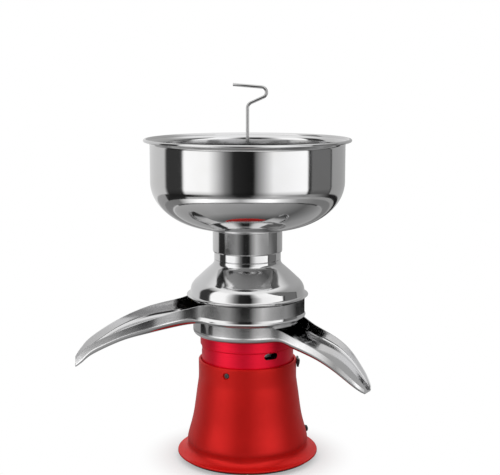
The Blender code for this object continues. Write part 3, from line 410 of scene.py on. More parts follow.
def join_mesh(mesh, *others):
    """Add other bmeshes to a bmesh as separate shells."""
    for other in others:
        data = bpy.data.meshes.new("joined")
        other.to_mesh(data)
        other.free()
        mesh.from_mesh(data)
        bpy.data.meshes.remove(data)
    return mesh


def cut(mesh, *cutters):
    """The bmesh with each cutter bmesh taken away from it."""
    for shape in (mesh, *cutters):
        bmesh.ops.recalc_face_normals(shape, faces=shape.faces)
    target = link_mesh("cut_target", mesh, [])
    tools = [link_mesh("cutter", cutter, []) for cutter in cutters]
    for tool in tools:
        modifier = target.modifiers.new("cut", "BOOLEAN")
        modifier.operation = "DIFFERENCE"
        modifier.object = tool
    bpy.context.view_layer.update()
    result = bmesh.new()
    result.from_object(target, bpy.context.evaluated_depsgraph_get())
    for item in [target] + tools:
        bpy.data.objects.remove(item)
    return result


def rotated(mesh, degrees, axis):
    matrix = Matrix.Rotation(math.radians(degrees), 3, axis)
    bmesh.ops.rotate(mesh, verts=mesh.verts, cent=(0, 0, 0), matrix=matrix)
    return mesh


def placed(mesh, azimuth, height, distance=0.0, lie=False):
    """Move a bmesh built at the origin to a turn, height and distance; lie puts its axis along +X first."""
    turn = Matrix.Rotation(math.radians(azimuth), 4, "Z")
    matrix = turn @ Matrix.Translation((distance * MM, 0, height * MM))
    if lie:
        matrix = matrix @ Matrix.Rotation(math.pi / 2, 4, "Y")
    bmesh.ops.transform(mesh, matrix=matrix, verts=mesh.verts)
    return mesh


def block(low, high, bevel):
    """A box between two corners, with all its edges rounded if it has a bevel."""
    mesh = bmesh.new()
    size = [(b - a) * MM for a, b in zip(low, high)]
    middle = Vector([(a + b) / 2 for a, b in zip(low, high)]) * MM
    bmesh.ops.create_cube(mesh, size=1.0, matrix=Matrix.Translation(middle) @ Matrix.Diagonal((*size, 1.0)))
    if bevel:
        bmesh.ops.bevel(mesh, geom=mesh.edges[:], offset=bevel * MM, segments=3, affect="EDGES", profile=0.5)
    return mesh


def extents(node):
    """A CAD node's radius from the axis along +X, bottom and top, in millimetres."""
    low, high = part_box(node)
    return max(high.x, -low.x) / MM, low.z / MM, high.z / MM


def cad_profile(node, azimuth):
    """Closed (radius, height) outline of a turned CAD node, read from its mesh in one half plane."""
    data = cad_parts[node].data
    angle = math.radians(azimuth)
    axis = Vector((math.cos(angle), math.sin(angle), 0))
    side = Vector((-math.sin(angle), math.cos(angle), 0))

    def in_plane(co):
        if abs(co.dot(side)) > 2e-5 or co.dot(axis) < -1e-6:
            return None
        return round(co.dot(axis) / MM, 2) + 0.0, round(co.z / MM, 2)

    keys = [in_plane(vert.co) for vert in data.vertices]
    links = {}
    for edge in data.edges:
        a, b = (keys[index] for index in edge.vertices)
        if a and b and a != b:
            links.setdefault(a, set()).add(b)
            links.setdefault(b, set()).add(a)
    ends = [point for point, near in links.items() if len(near) == 1]
    point = ends[0] if ends else next(iter(links))
    outline, before = [], None
    while point is not None and point not in outline:
        outline.append(point)
        following = [other for other in links[point] if other != before and other not in outline]
        before, point = point, (following[0] if following else None)
    if ends:
        outline = [(0.0, outline[0][1])] + [p for p in outline if p[0] > 0] + [(0.0, outline[-1][1])]
    return outline


# ---- materials

# The middle part of a noise's range, where nearly all of it lies
NOISE_SPAN = (0.3, 0.7)
BUFFING_PITCH, TURNING_PITCH = 0.5, 0.3
# Name, slot, grey, roughness and height of the buffing lines
STEELS = (
    ("bowl_steel", "polished_steel", 0.66, 0.075, 0.006),
    ("collar_steel", "polished_steel", 0.60, 0.09, 0.008),
    ("bell_steel", "polished_steel", 0.66, 0.08, 0.006),
    ("ring_steel", "polished_steel", 0.62, 0.10, 0.008),
    ("fitting_steel", "tap_steel", 0.6, 0.16, 0.02),
    ("float_steel", "float_steel", 0.6, 0.2, 0.02),
    ("rod_steel", "rod_steel", 0.55, 0.12, 0.01),
    ("zinc_steel", "zinc_steel", 0.45, 0.35, 0.03),
    ("dark_screw", "zinc_steel", 0.11, 0.4, 0.03),
    ("bearing_steel", "bearing_steel", 0.55, 0.2, 0.03),
    ("drum_aluminium", "drum_aluminium", 0.72, 0.33, 0.05),
)
# Name, colour, roughness and strength of the grain
MOULDINGS = (
    ("black_plastic", (0.012, 0.012, 0.013), 0.32, 0.05),
    ("fan_plastic", (0.03, 0.032, 0.035), 0.45, 0.08),
    ("capacitor_plastic", (0.62, 0.58, 0.4), 0.4, 0.04),
    ("foot_rubber", (0.02, 0.02, 0.02), 0.8, 0.3),
    ("seal_rubber", (0.35, 0.07, 0.04), 0.6, 0.15),
    ("carbon", (0.025, 0.025, 0.028), 0.6, 0.4),
)


def new_material(name, colour, roughness, metallic=0.0, slot=None, **inputs):
    """A Principled material; returns it with its node helper, its shader and the object coordinates."""
    material = bpy.data.materials.new(name)
    material.use_nodes = True
    n = Nodes(material.node_tree)
    shader = material.node_tree.nodes["Principled BSDF"]
    shader.inputs["Base Color"].default_value = (*colour, 1)
    shader.inputs["Roughness"].default_value = roughness
    shader.inputs["Metallic"].default_value = metallic
    for key, value in inputs.items():
        shader.inputs[key.replace("_", " ").title().replace("Ior", "IOR")].default_value = value
    return material, n, shader, n.add("ShaderNodeTexCoord").outputs["Object"]


def lathe_lines(n, place, pitch):
    """Fine rings round the spin axis, as turning or buffing leaves them: noise drawn out along the turn."""
    x, y, z = n.split(place)
    drawn_out = n.math("MULTIPLY", n.math("ARCTAN2", y, x), 0.0015)
    return n.noise(n.combine(n.from_axis(x, y), drawn_out, z), 1.0 / (pitch * MM), 2.0)


def bump(n, shader, height, strength, distance_mm):
    node = n.add("ShaderNodeBump")
    node.inputs["Strength"].default_value = strength
    node.inputs["Distance"].default_value = distance_mm * MM
    n.join(height, node.inputs["Height"])
    n.join(node.outputs[0], shader.inputs["Normal"])


def vary(n, shader, noise, low, high):
    """Let the roughness wander between two values with a noise."""
    n.join(n.spread(noise, *NOISE_SPAN, low, high), shader.inputs["Roughness"])


def tint(n, shader, noise, first, second):
    n.join(n.ramp(noise, ((0.35, first), (0.65, second))), shader.inputs["Base Color"])


def steel(name, slot, grey, roughness, line_height):
    """Polished stainless sheet: faint buffing lines, soft smudges and the slight waves of pressed metal."""
    material, n, shader, place = new_material(name, (grey, grey, grey), roughness, 1.0, slot)
    vary(n, shader, n.noise(place, 34.0, 4.0, 0.6), roughness * 0.8, roughness * 1.3)
    tint(n, shader, n.noise(place, 12.0, 3.0), (grey * 0.97, grey * 0.965, grey * 0.96),
         (grey * 1.02, grey * 1.02, grey * 1.03))
    lines = n.math("MULTIPLY", lathe_lines(n, place, BUFFING_PITCH), line_height)
    waves = n.math("MULTIPLY", n.noise(place, 22.0, 1.0), 0.015)
    bump(n, shader, n.math("ADD", lines, waves), 1.0, 1.0)
    return material


def make_materials():
    """Every finish, by name."""
    m = {row[0]: steel(*row) for row in STEELS}
    m.update({row[0]: moulded(*row) for row in MOULDINGS})
    m.update(brass=brass(), commutator_copper=commutator(), red_anodised=red_anodised(), red_paint=red_paint(),
             cast_bracket=cast_metal(), lamination=laminated(), copper_wire=copper_winding())
    return m


def red_anodised():
    """Aluminium dyed red, with fine lathe lines that draw the highlights upright; inside the casing a painted shade
    makes it nearly black.
    """
    material, n, shader, place = new_material("red_anodised", (0.98, 0.004, 0.035), 0.32, 0.72, anisotropic=0.4)
    lines = lathe_lines(n, place, 0.35)
    vary(n, shader, n.noise(place, 26.0, 4.0, 0.6), 0.28, 0.36)
    x, y, _ = n.split(place)
    # Painted shade: inside the casing, under 64.4 mm from the axis, the colour is nearly black, blending into the
    # red by 65.1 mm
    red = n.add("ShaderNodeMix", data_type="RGBA")
    n.join(n.spread(n.from_axis(x, y), 64.4 * MM, 65.1 * MM), red.inputs[0])
    red.inputs[6].default_value = (0.004, 0.002, 0.002, 1)
    n.join(n.ramp(lines, ((0.35, (0.92, 0.003, 0.028)), (0.65, (1.0, 0.005, 0.042)))), red.inputs[7])
    n.join(red.outputs[2], shader.inputs["Base Color"])
    bump(n, shader, lines, 0.3, 0.02)
    return material


def red_paint():
    """Sprayed enamel on the cast housing: slight orange peel under a thin gloss."""
    material, n, shader, place = new_material("red_paint", (0.76, 0.014, 0.011), 0.45, 0.6,
                                              coat_weight=0.05, coat_roughness=0.25, specular_ior_level=0.25)
    tint(n, shader, n.noise(place, 9.0, 3.0), (0.74, 0.013, 0.010), (0.78, 0.015, 0.012))
    vary(n, shader, n.noise(place, 40.0, 4.0, 0.6), 0.40, 0.50)
    bump(n, shader, n.noise(place, 420.0, 2.0), 0.25, 0.06)
    return material


def brass():
    material, n, shader, place = new_material("brass", (0.78, 0.53, 0.2), 0.28, 1.0)
    tint(n, shader, n.noise(place, 30.0, 4.0), (0.7, 0.45, 0.16), (0.82, 0.58, 0.24))
    vary(n, shader, n.noise(place, 90.0, 4.0), 0.2, 0.36)
    bump(n, shader, lathe_lines(n, place, TURNING_PITCH), 0.2, 0.02)
    return material


def commutator():
    """Copper bars with dark mica between them, told apart by the turn about the spindle."""
    material, n, shader, place = new_material("commutator_copper", (0.75, 0.36, 0.18), 0.3, 1.0)
    x, y, _ = n.split(place)
    bar_count = 24
    bars = n.stripes(n.math("ARCTAN2", y, x), bar_count / 2)
    n.join(n.ramp(bars, ((0.1, (0.05, 0.03, 0.02)), (0.2, (0.75, 0.36, 0.18)))), shader.inputs["Base Color"])
    vary(n, shader, lathe_lines(n, place, TURNING_PITCH), 0.22, 0.45)
    bump(n, shader, bars, 0.3, 0.1)
    return material


def moulded(name, colour, roughness, grain):
    """Moulded plastic or rubber with a fine spark-eroded grain."""
    material, n, shader, place = new_material(name, colour, roughness)
    lighter = tuple(min(1.0, c * 1.35 + 0.004) for c in colour)
    tint(n, shader, n.noise(place, 55.0, 4.0), colour, lighter)
    vary(n, shader, n.noise(place, 160.0, 4.0), roughness * 0.85, min(1.0, roughness * 1.2))
    bump(n, shader, n.noise(place, 1500.0, 3.0), grain, 0.12)
    return material


def cast_metal():
    material, n, shader, place = new_material("cast_bracket", (0.5, 0.5, 0.51), 0.5, 1.0)
    tint(n, shader, n.noise(place, 60.0, 5.0), (0.42, 0.42, 0.43), (0.56, 0.56, 0.57))
    vary(n, shader, n.noise(place, 200.0, 4.0), 0.42, 0.62)
    bump(n, shader, n.noise(place, 700.0, 4.0), 0.5, 0.15)
    return material


def laminated():
    """A stack of half-millimetre steel sheets, seen as fine level lines."""
    material, n, shader, place = new_material("lamination", (0.3, 0.31, 0.33), 0.45, 0.9)
    sheets = n.stripes(n.split(place)[2], math.pi / (0.5 * MM))
    n.join(n.ramp(sheets, ((0.1, (0.08, 0.08, 0.085)), (0.5, (0.32, 0.33, 0.35)))), shader.inputs["Base Color"])
    vary(n, shader, n.noise(place, 80.0, 4.0), 0.38, 0.55)
    bump(n, shader, sheets, 0.4, 0.08)
    return material


def copper_winding():
    """Enamelled wire, 0.7 mm thick, laid side by side, with a painted shade that darkens each wire towards the
    grooves between wires.
    """
    material, n, shader, place = new_material("copper_wire", (0.6, 0.24, 0.09), 0.32, 0.95)
    strands = n.stripes(n.split(place)[1], math.pi / (0.7 * MM))
    # Painted shade: the colour darkens from each wire's middle to the grooves between wires
    n.join(n.ramp(strands, ((0.0, (0.16, 0.05, 0.02)), (0.6, (0.66, 0.28, 0.11)))), shader.inputs["Base Color"])
    vary(n, shader, n.noise(place, 120.0, 3.0), 0.25, 0.4)
    bump(n, shader, strands, 0.6, 0.2)
    return material


# ---- bowl and its collar

BOWL_SHEET = 1.4
SHEET = 1.3


def make_bowl(finish):
    """Deep-drawn bowl: rolled bead, short flare, straight wall, elliptical bottom."""
    rim, bottom, top = extents("milk_bowl")
    bead = 2.2
    wall = rim - 9.0
    bend = top - 59.0
    flat = 44.0
    dish = 34.0
    drain = extents("tap_seat")[0] - 5.0 + 0.3

    def bottom_curve(inset):
        steps = 48
        angles = [math.radians(90 * step / steps) for step in range(steps + 1)]
        return [(flat + (wall - flat - inset) * math.cos(angle),
                 bend - (bend - bottom - 2.2 - inset) * math.sin(angle)) for angle in angles]

    def flare(inset):
        """From the wall out to the bead, in a small bend."""
        return [(wall - inset, top - 24)] + arc(wall + 5, top - 9.5, 5 + inset, 180, 100, 8)

    under = [(dish, bottom + 0.6), (drain, bottom)]
    outer = list(reversed(flare(0))) + bottom_curve(0) + under
    inner = [(drain, bottom + BOWL_SHEET), (dish, bottom + 0.6 + BOWL_SHEET)]
    inner += list(reversed(bottom_curve(BOWL_SHEET))) + flare(BOWL_SHEET)
    roll = arc(rim - bead, top - bead, bead, 140, -110, 22)
    outline = inner + roll + outer
    piece("bowl_shell", turned(outline), finish, "bowl", ["milk_bowl"])


def make_collar(finish):
    """Spigot ring under the bowl, with a rolled top edge and a chamfered foot."""
    radius, bottom, top = extents("bowl_collar")
    radius -= 0.5
    outline = [(radius, top - 2.2), (radius + 0.5, top - 1.5), (radius + 0.5, top - 0.7), (radius - 0.2, top),
               (radius - 1.2, top), (radius - 1.2, bottom), (radius - 0.9, bottom), (radius, bottom + 1.7)]
    piece("bowl_collar_ring", turned(rounded(outline, 0.4)), finish, "bowl", ["bowl_collar"])


# ---- float chamber

def make_float_chamber(finish):
    """Bell with a flanged foot, a rounded shoulder, a straight neck and a cup with its feed nozzle."""
    brim, nozzle_bottom, top = extents("float_chamber")
    foot = extents("cream_receiver")[2] + 0.3
    neck = 47.1
    cup = 281.6
    nozzle, bore = 4.8, 3.4
    spigot = 79.5
    shoulder = [(82.4, 235.0), (81.4, 236.4), (80.9, 239.5), (80.1, 244.5), (78.3, 249.0), (75.1, 253.2),
                (70.9, 257.2), (63.1, 264.6), (55.6, 271.4), (51.0, 275.4), (48.4, 278.4)]
    outer = [(spigot, foot - 3.5), (spigot, foot - 2.6), (brim - 0.8, foot + 1.0), (brim, foot + 1.5),
             (brim - 0.2, foot + 2.0), (84.4, foot + 2.3)]
    outer += smooth(shoulder, 6)
    outer += smooth([(47.5, 280.4), (neck, 282.8), (neck, 284.0)], 4)
    outer += [(neck, 284.2), (neck - 0.8, 284.7), (neck, 285.3), (neck, top - 0.4), (neck - 0.4, top)]
    inner_neck = neck - SHEET
    inner = [(inner_neck + 0.3, top), (inner_neck, top - 0.3), (inner_neck, cup + 2)]
    inner += arc(inner_neck - 2, cup + 2, 2, 0, -90, 4)
    inner += [(bore + 1, cup), (bore, cup - 1), (bore, nozzle_bottom), (nozzle, nozzle_bottom),
              (nozzle, cup - SHEET), (44.0, cup - SHEET)]
    under = [(r - 0.9, z - 0.9) for r, z in reversed(smooth(shoulder[2:], 4))]
    inner += under + [(spigot - SHEET, 238.0), (spigot - SHEET, foot - 3.5)]
    piece("float_chamber_bell", turned(outer + inner), finish, "float_chamber", ["float_chamber"])


# ---- receivers

class Receiver:
    """A pan with a gutter and a spout, drawn as one skin from its rim down to its hub and the spout's middle.

    The half plan runs from the back of the ring round to where the wall leaves the circle, and on along the
    spout's side to its tip. At each place on it a section goes from the rim down the wall, round the corner
    and in over the floor. stations give, along the spout, its distance from the axis, half width, rim height
    and underside height.
    """
    WALL_POINTS = 7
    CORNER_POINTS = 13
    FLOOR_POINTS = 9

    def __init__(self, radius, top, wall_foot, corner, hub, hub_height, leave, settle, stations):
        self.radius, self.top, self.wall_foot, self.corner = radius, top, wall_foot, corner
        self.hub, self.hub_height, self.settle = hub, hub_height, settle
        self.leave = math.radians(leave)
        self.stations = smooth(stations, 8)

    def at(self, distance):
        """Half width, rim and underside of the spout at a distance from the axis."""
        rows = self.stations
        for low, high in zip(rows, rows[1:]):
            if distance <= high[0]:
                t = max(0.0, (distance - low[0]) / (high[0] - low[0]))
                return [a + (b - a) * t for a, b in zip(low[1:], high[1:])]
        return list(rows[-1][1:])

    def half_plan(self):
        """Places (x, y, spine x, spine y, share of spout) from the back of the ring to the spout's tip."""
        places = []
        steps = 64
        for step in range(steps + 1):
            angle = math.pi + (self.leave - math.pi) * step / steps
            places.append((self.radius * math.cos(angle), self.radius * math.sin(angle),
                           self.hub * math.cos(angle), self.hub * math.sin(angle), 0.0))
        start = Vector((places[-1][0], places[-1][1]))
        end = Vector((self.settle, self.at(self.settle)[0]))
        ahead = self.at(self.settle + 2)[0] - end.y
        reach = (end - start).length
        first = start + Vector((math.sin(self.leave), -math.cos(self.leave))) * reach * 0.45
        second = end - Vector((2, ahead)).normalized() * reach * 0.4
        spine_length = self.hub * self.leave + (self.settle - self.hub)
        steps = 28
        for step in range(1, steps + 1):
            t = step / steps
            point = (start * (1 - t) ** 3 + first * 3 * t * (1 - t) ** 2 + second * 3 * t * t * (1 - t)
                     + end * t ** 3)
            along = spine_length * t
            if along < self.hub * self.leave:
                angle = self.leave - along / self.hub
                spine = (self.hub * math.cos(angle), self.hub * math.sin(angle))
            else:
                spine = (self.hub + along - self.hub * self.leave, 0.0)
            places.append((point.x, point.y, *spine, t * t * (3 - 2 * t)))
        for distance, half_width, _, _ in self.stations:
            if distance > self.settle + 0.5:
                places.append((distance, half_width, distance, 0.0, 1.0))
        return places

    def ring_section(self, reach):
        """(distance in from the wall, height) down the ring's wall, round its foot and in to the hub."""
        wall = straight((0.0, self.top), (0.0, self.wall_foot), self.WALL_POINTS)
        corner = resampled([wall[-1]] + list(self.corner), self.CORNER_POINTS + 1)[1:]
        floor = straight(corner[-1], (reach, self.hub_height), self.FLOOR_POINTS + 1)[1:]
        return wall + corner + floor

    def spout_section(self, reach, rim, under, end_height):
        corner = min(0.34 * reach, 0.42 * (rim - under))
        foot = under + corner
        wall = straight((0.0, rim), (0.0, foot), self.WALL_POINTS)
        bend = arc(corner, foot, corner, 180, 270, self.CORNER_POINTS)[1:]
        floor = [(corner + (reach - corner) * i / self.FLOOR_POINTS,
                  under + (end_height - under) * (i / self.FLOOR_POINTS) ** 2)
                 for i in range(1, self.FLOOR_POINTS + 1)]
        return wall + bend + floor

    def rows(self):
        """Rows of points, one row for each place of the half plan."""
        rows = []
        for x, y, spine_x, spine_y, share in self.half_plan():
            wall, spine = Vector((x, y)), Vector((spine_x, spine_y))
            reach = (spine - wall).length
            inward = (spine - wall) / reach
            _, rim, under = self.at(max(x, self.settle * 0.7))
            ring = self.ring_section(reach)
            end_height = under + (self.hub_height - under) * (1 - share)
            spout = self.spout_section(reach, rim, under, end_height)
            row = []
            for (ring_in, ring_z), (spout_in, spout_z) in zip(ring, spout):
                step_in = ring_in + (spout_in - ring_in) * share
                place = wall + inward * step_in
                row.append(Vector((place.x, place.y, ring_z + (spout_z - ring_z) * share)))
            rows.append(row)
        return rows

    def mesh(self):
        """The pan's outer skin, mirrored about the spout's middle plane."""
        mesh = bmesh.new()
        for side in (1, -1):
            grid = [[mesh.verts.new(Vector((p.x, p.y * side, p.z)) * MM) for p in row] for row in self.rows()]
            for first, second in zip(grid, grid[1:]):
                for i in range(len(first) - 1):
                    mesh.faces.new((first[i], first[i + 1], second[i + 1], second[i]))
        bmesh.ops.remove_doubles(mesh, verts=mesh.verts, dist=2e-5)
        bmesh.ops.recalc_face_normals(mesh, faces=mesh.faces)
        return mesh


def straight(start, end, count):
    """Evenly spaced points from a start to an end, both included."""
    return [tuple(a + (b - a) * i / (count - 1) for a, b in zip(start, end)) for i in range(count)]


def resampled(points, count):
    """The same open line with evenly spaced points."""
    lengths = [0.0]
    for a, b in zip(points, points[1:]):
        lengths.append(lengths[-1] + math.dist(a, b))
    result = []
    for i in range(count):
        wanted = lengths[-1] * i / (count - 1)
        index = max(k for k in range(len(lengths)) if lengths[k] <= wanted + 1e-9)
        index = min(index, len(points) - 2)
        t = (wanted - lengths[index]) / max(lengths[index + 1] - lengths[index], 1e-9)
        result.append(tuple(a + (b - a) * t for a, b in zip(points[index], points[index + 1])))
    return result


def band(radius, low, high, thickness, sides):
    """An upright ring of sheet with rounded edges; a negative thickness goes inward."""
    outline = [(radius, low), (radius, high), (radius + thickness, high), (radius + thickness, low)]
    return turned(rounded(outline, 0.4), sides)


def make_receiver(node, shape, azimuth, spigot, collar, finish):
    """The pan's skin given its thickness, with the spigot ring that locates it and its hub collar."""
    item = link_mesh("sheet", shape.mesh(), [finish], 60)
    solid = item.modifiers.new("sheet", "SOLIDIFY")
    solid.thickness = SHEET * MM
    solid.offset = -1
    solid.use_even_offset = True
    bpy.context.view_layer.update()
    mesh = bmesh.new()
    mesh.from_object(item, bpy.context.evaluated_depsgraph_get())
    bpy.data.objects.remove(item)
    join_mesh(mesh, band(*spigot, -SHEET, LARGE_ROUND), band(*collar, SHEET, MEDIUM_ROUND))
    pan = piece(node + "_pan", rotated(mesh, azimuth, "Z"), finish, node, [node], 40)
    soften = pan.modifiers.new("edge", "BEVEL")
    soften.width = 0.35 * MM
    soften.segments = 2
    soften.limit_method = "ANGLE"
    soften.angle_limit = math.radians(60)


def make_receivers(finish):
    brim_sink = 2.2
    cream = Receiver(
        radius=81.2, top=extents("cream_receiver")[2] - brim_sink, wall_foot=208.0,
        corner=[(0.0, 207.4), (-0.9, 206.8), (-1.5, 206.0), (-1.5, 205.2), (-0.8, 204.3), (0.4, 203.4),
                (1.4, 202.4), (2.0, 201.3), (4.5, 201.3), (6.6, 202.2)],
        hub=18.8, hub_height=211.0, leave=44, settle=94,
        stations=[(60, 48, 227, 203.5), (76, 42, 225, 201.2), (100, 38.5, 221, 197.5), (140, 42, 211, 191),
                  (180, 35, 196.5, 180), (220, 20.5, 176, 159), (236, 13, 161.5, 145.5),
                  (243.8, 9, 151, 139.5)])
    make_receiver("cream_receiver", cream, 190, (75.9, 197.3, 202.6), (18.2, 210.6, 213.6), finish)
    skim = Receiver(
        radius=77.5, top=extents("skim_receiver")[2], wall_foot=184.5,
        corner=[(0.0, 183.4), (0.5, 181.6), (1.6, 179.8), (3.9, 178.3), (7.0, 177.5), (10.4, 177.3),
                (14.4, 177.3), (16.4, 178.0), (27.0, 181.8)],
        hub=25.4, hub_height=190.5, leave=46, settle=92,
        stations=[(60, 46, 198, 178.5), (76, 40, 195, 176.4), (92, 38, 190, 171.8), (126, 35.5, 177, 161),
                  (150, 31, 162.5, 148), (174, 22, 140.5, 129), (184, 16, 130, 121), (189, 11, 124.5, 117.5)])
    make_receiver("skim_receiver", skim, -31, (62.4, 172.3, 178.6), (24.8, 190.1, 192.4), finish)


# ---- tap and float

def tube_along(path, radius, sides=20):
    """A round wire along a flat path of (x, z) points, with softened ends."""
    ends = []
    steps = 4
    for place, ahead in ((0, 1), (-1, -2)):
        tip = Vector(path[place])
        back = (Vector(path[ahead]) - tip).normalized()
        ends.append([(tip + back * (0.35 * radius * (1 - math.cos(math.pi / 2 * k / steps))),
                      radius * (0.6 + 0.4 * math.sin(math.pi / 2 * k / steps))) for k in range(steps)])
    stations = ends[0] + [(Vector(p), radius) for p in path[1:-1]] + list(reversed(ends[1]))
    rings = []
    for i, (place, size) in enumerate(stations):
        before = stations[max(i - 1, 0)][0]
        after = stations[min(i + 1, len(stations) - 1)][0]
        along = (after - before).normalized()
        across = Vector((-along.y, along.x))
        ring = []
        for k in range(sides):
            angle = FULL_TURN * k / sides
            flat = place + across * (size * math.cos(angle))
            ring.append((flat.x, size * math.sin(angle), flat.y))
        rings.append(ring)
    return loft(rings)


def corner_round(corner, before, after, radius, steps):
    """Points of an arc that rounds a corner between two neighbouring points of a flat path."""
    corner, before, after = Vector(corner), Vector(before), Vector(after)
    to_before = (before - corner).normalized()
    to_after = (after - corner).normalized()
    half = to_before.angle(to_after) / 2
    centre = corner + (to_before + to_after).normalized() * (radius / math.sin(half))
    start = corner + to_before * (radius / math.tan(half)) - centre
    end = corner + to_after * (radius / math.tan(half)) - centre
    return [tuple(centre + start.slerp(end, step / steps) * start.length) for step in range(steps + 1)]


def make_rod(finish):
    """The tap's bent wire handle: up the axis, out to the right and back over to the left."""
    _, foot, _ = extents("tap_rod")
    lower_bend, outer_bend, tip = (0.0, 500.8), (47.2, 522.1), (-20.2, 527.9)
    path = [(0.0, foot), (0.0, foot + 3), (0.0, 420.0)]
    path += corner_round(lower_bend, (0.0, foot), outer_bend, 8.0, 14)
    path += corner_round(outer_bend, lower_bend, tip, 7.2, 22)
    path += [(10.0, 525.3), tip]
    piece("tap_rod_wire", tube_along(path, 2.2), finish, "tap", ["tap_rod"], 60)


def respin(node, finish, body, corner=0.0, sides=MEDIUM_ROUND, cutters=(), azimuth=45, ending="_turned"):
    """A turned CAD node spun again with finer facets and rounded corners, and its cross holes cut."""
    outline = cad_profile(node, azimuth)
    mesh = turned(rounded(outline, corner) if corner else outline, sides)
    piece(node + ending, cut(mesh, *cutters) if cutters else mesh, finish, body, [node])


def make_tap_and_float(m):
    for node, body, size in (("tap_seat", "bowl", (3, 15, 3)), ("tap_plug", "tap", (15, 3, 3))):
        port = placed(block([-half for half in size], size, 0), 0, TAP_PORT_HEIGHT)
        respin(node, m["fitting_steel"], body, 0.4, cutters=[port])
    respin("float", m["float_steel"], "float", 1.2, LARGE_ROUND, ending="_disc")


# ---- drum

def make_drum(m):
    """The spun parts that show when the receivers are lifted off."""
    skim_ports = [placed(cylinder(1.8, 16, 24), azimuth, 195.4, lie=True) for azimuth in (90, 270)]
    cream_ports = [placed(cylinder(1.6, 11.9, 20), azimuth, 215.5, lie=True) for azimuth in (0, 180)]
    aluminium = m["drum_aluminium"]
    respin("drum_cover", aluminium, "drum", 0.8, LARGE_ROUND, skim_ports)
    respin("top_disc", aluminium, "drum", 0.4, cutters=cream_ports)
    for node in ("drum_base", "disc_carrier"):
        respin(node, aluminium, "drum", 0.6, LARGE_ROUND)
    for number in range(1, 11):
        respin(f"disc_{number:02d}", aluminium, "drum")
    respin("drum_seal_ring", m["seal_rubber"], "drum", 0.8)
    respin("spindle", m["bearing_steel"], "drum", 0.4, SMALL_ROUND, azimuth=0)
    make_nut(m["brass"])


def make_nut(finish):
    """Hexagon nut with its corners turned off, top and bottom."""
    _, bottom, top = extents("drum_nut")
    radius = 14.0
    mesh = bmesh.new()
    bmesh.ops.create_cone(mesh, cap_ends=True, segments=6, radius1=radius * MM, radius2=radius * MM,
                          depth=(top - bottom) * MM, matrix=Matrix.Translation((0, 0, (top + bottom) / 2 * MM)))
    chamfers = [turned([(12.3, z + 0.01 * up), (16, z - 1.9 * up), (16, z + 2 * up), (12.3, z + 2 * up)],
                       MEDIUM_ROUND) for z, up in ((top, 1), (bottom, -1))]
    bored = cut(mesh, cylinder(10.3, bottom - 1, top + 1), *chamfers)
    piece("drum_nut_hexagon", bored, finish, "drum", ["drum_nut"], 25)


# ---- base

def side_cutters(screw_hole, bevel):
    """Cutters for the two screw holes of the given outline and for the switch's opening."""
    holes = [placed(turned(screw_hole, SMALL_ROUND), azimuth, CASING_SCREW_HEIGHT, lie=True)
             for azimuth in CASING_SCREW_TURNS]
    return holes + [block((60, -7.8, SWITCH_HEIGHT - 4.4), (80, 7.8, SWITCH_HEIGHT + 4.4), bevel)]


def make_housing(finish):
    """Cast bell with a rolled lip at the top and a broad stepped foot."""
    flange, bottom, top = extents("base_housing")
    lip = 70.0
    inner_lip = 66.2
    side = smooth([(lip, top - 8), (lip, 115), (71.0, 106), (72.9, 93), (75.0, 77), (77.4, 61), (80.3, 48),
                   (83.6, 36), (85.8, 27.5), (86.5, 22), (86.0, 17.5), (86.2, 13.6), (87.6, 11.0), (90.4, 8.6)], 6)
    outer = arc(lip - 1.6, top - 1.6, 1.6, 100, 0, 8) + side
    outer += smooth([(93.0, 7.4), (96.0, 6.5), (98.6, 6.25)], 4)
    outer += arc(flange - 1.2, 5.0, 1.2, 80, 0, 5) + [(flange, bottom + 0.5), (flange - 0.5, bottom)]
    inner = [(86.5, bottom), (83.4, 18), (84.0, 25), (82.0, 35), (77.9, 50), (75.0, 61), (70.5, 93), (67.6, 112),
             (inner_lip, 118), (inner_lip, top - 1.0), (inner_lip + 0.8, top - 0.2)]
    cutters = side_cutters([(0, 60), (2.5, 60), (2.5, 67.6), (5.0, 67.6), (5.0, 75), (0, 75)], 0.6)
    cutters.append(placed(cylinder(5.3, 75, 95), GLAND_TURN, GLAND_HEIGHT, lie=True))
    piece("housing_shell", cut(turned(outer + inner), *cutters), finish, "housing", ["base_housing"])


def make_casing(finish):
    """Red drum casing: a plain cylinder, a groove, a slightly wider band, three oblong windows."""
    band, bottom, top = extents("drum_casing")
    radius = 65.5
    inner = 63.0
    outline = [(radius, bottom), (radius, 161.2), (radius - 0.5, 161.7), (radius - 0.4, 162.3), (band, 163.2),
               (band, top - 0.4), (band - 0.4, top), (inner + 0.3, top), (inner, top - 0.3), (inner, 148.0),
               (61.0, 146.0), (14.0, 146.0), (14.0, 149.0), (12.0, 149.0), (12.0, 143.5), (inner, 143.5),
               (inner, bottom)]
    windows = [placed(loft([[(x, y, z) for y, z in oblong(21.0, 9.0)] for x in (52.0, 75.0)]), azimuth,
                      WINDOW_HEIGHT) for azimuth in WINDOW_TURNS]
    holes = side_cutters([(0, 55), (2.3, 55), (2.3, 70), (0, 70)], 0.4)
    piece("casing_shell", cut(turned(outline), *windows, *holes), finish, "housing", ["drum_casing"])


def oblong(length, height):
    """A slot's outline: two half circles joined by straight sides."""
    radius = height / 2
    steps = 12
    points = []
    for side, start in ((1, -90), (-1, 90)):
        for step in range(steps + 1):
            angle = math.radians(start + 180 * step / steps)
            points.append((side * (length / 2 - radius) + radius * math.cos(angle), radius * math.sin(angle)))
    return points


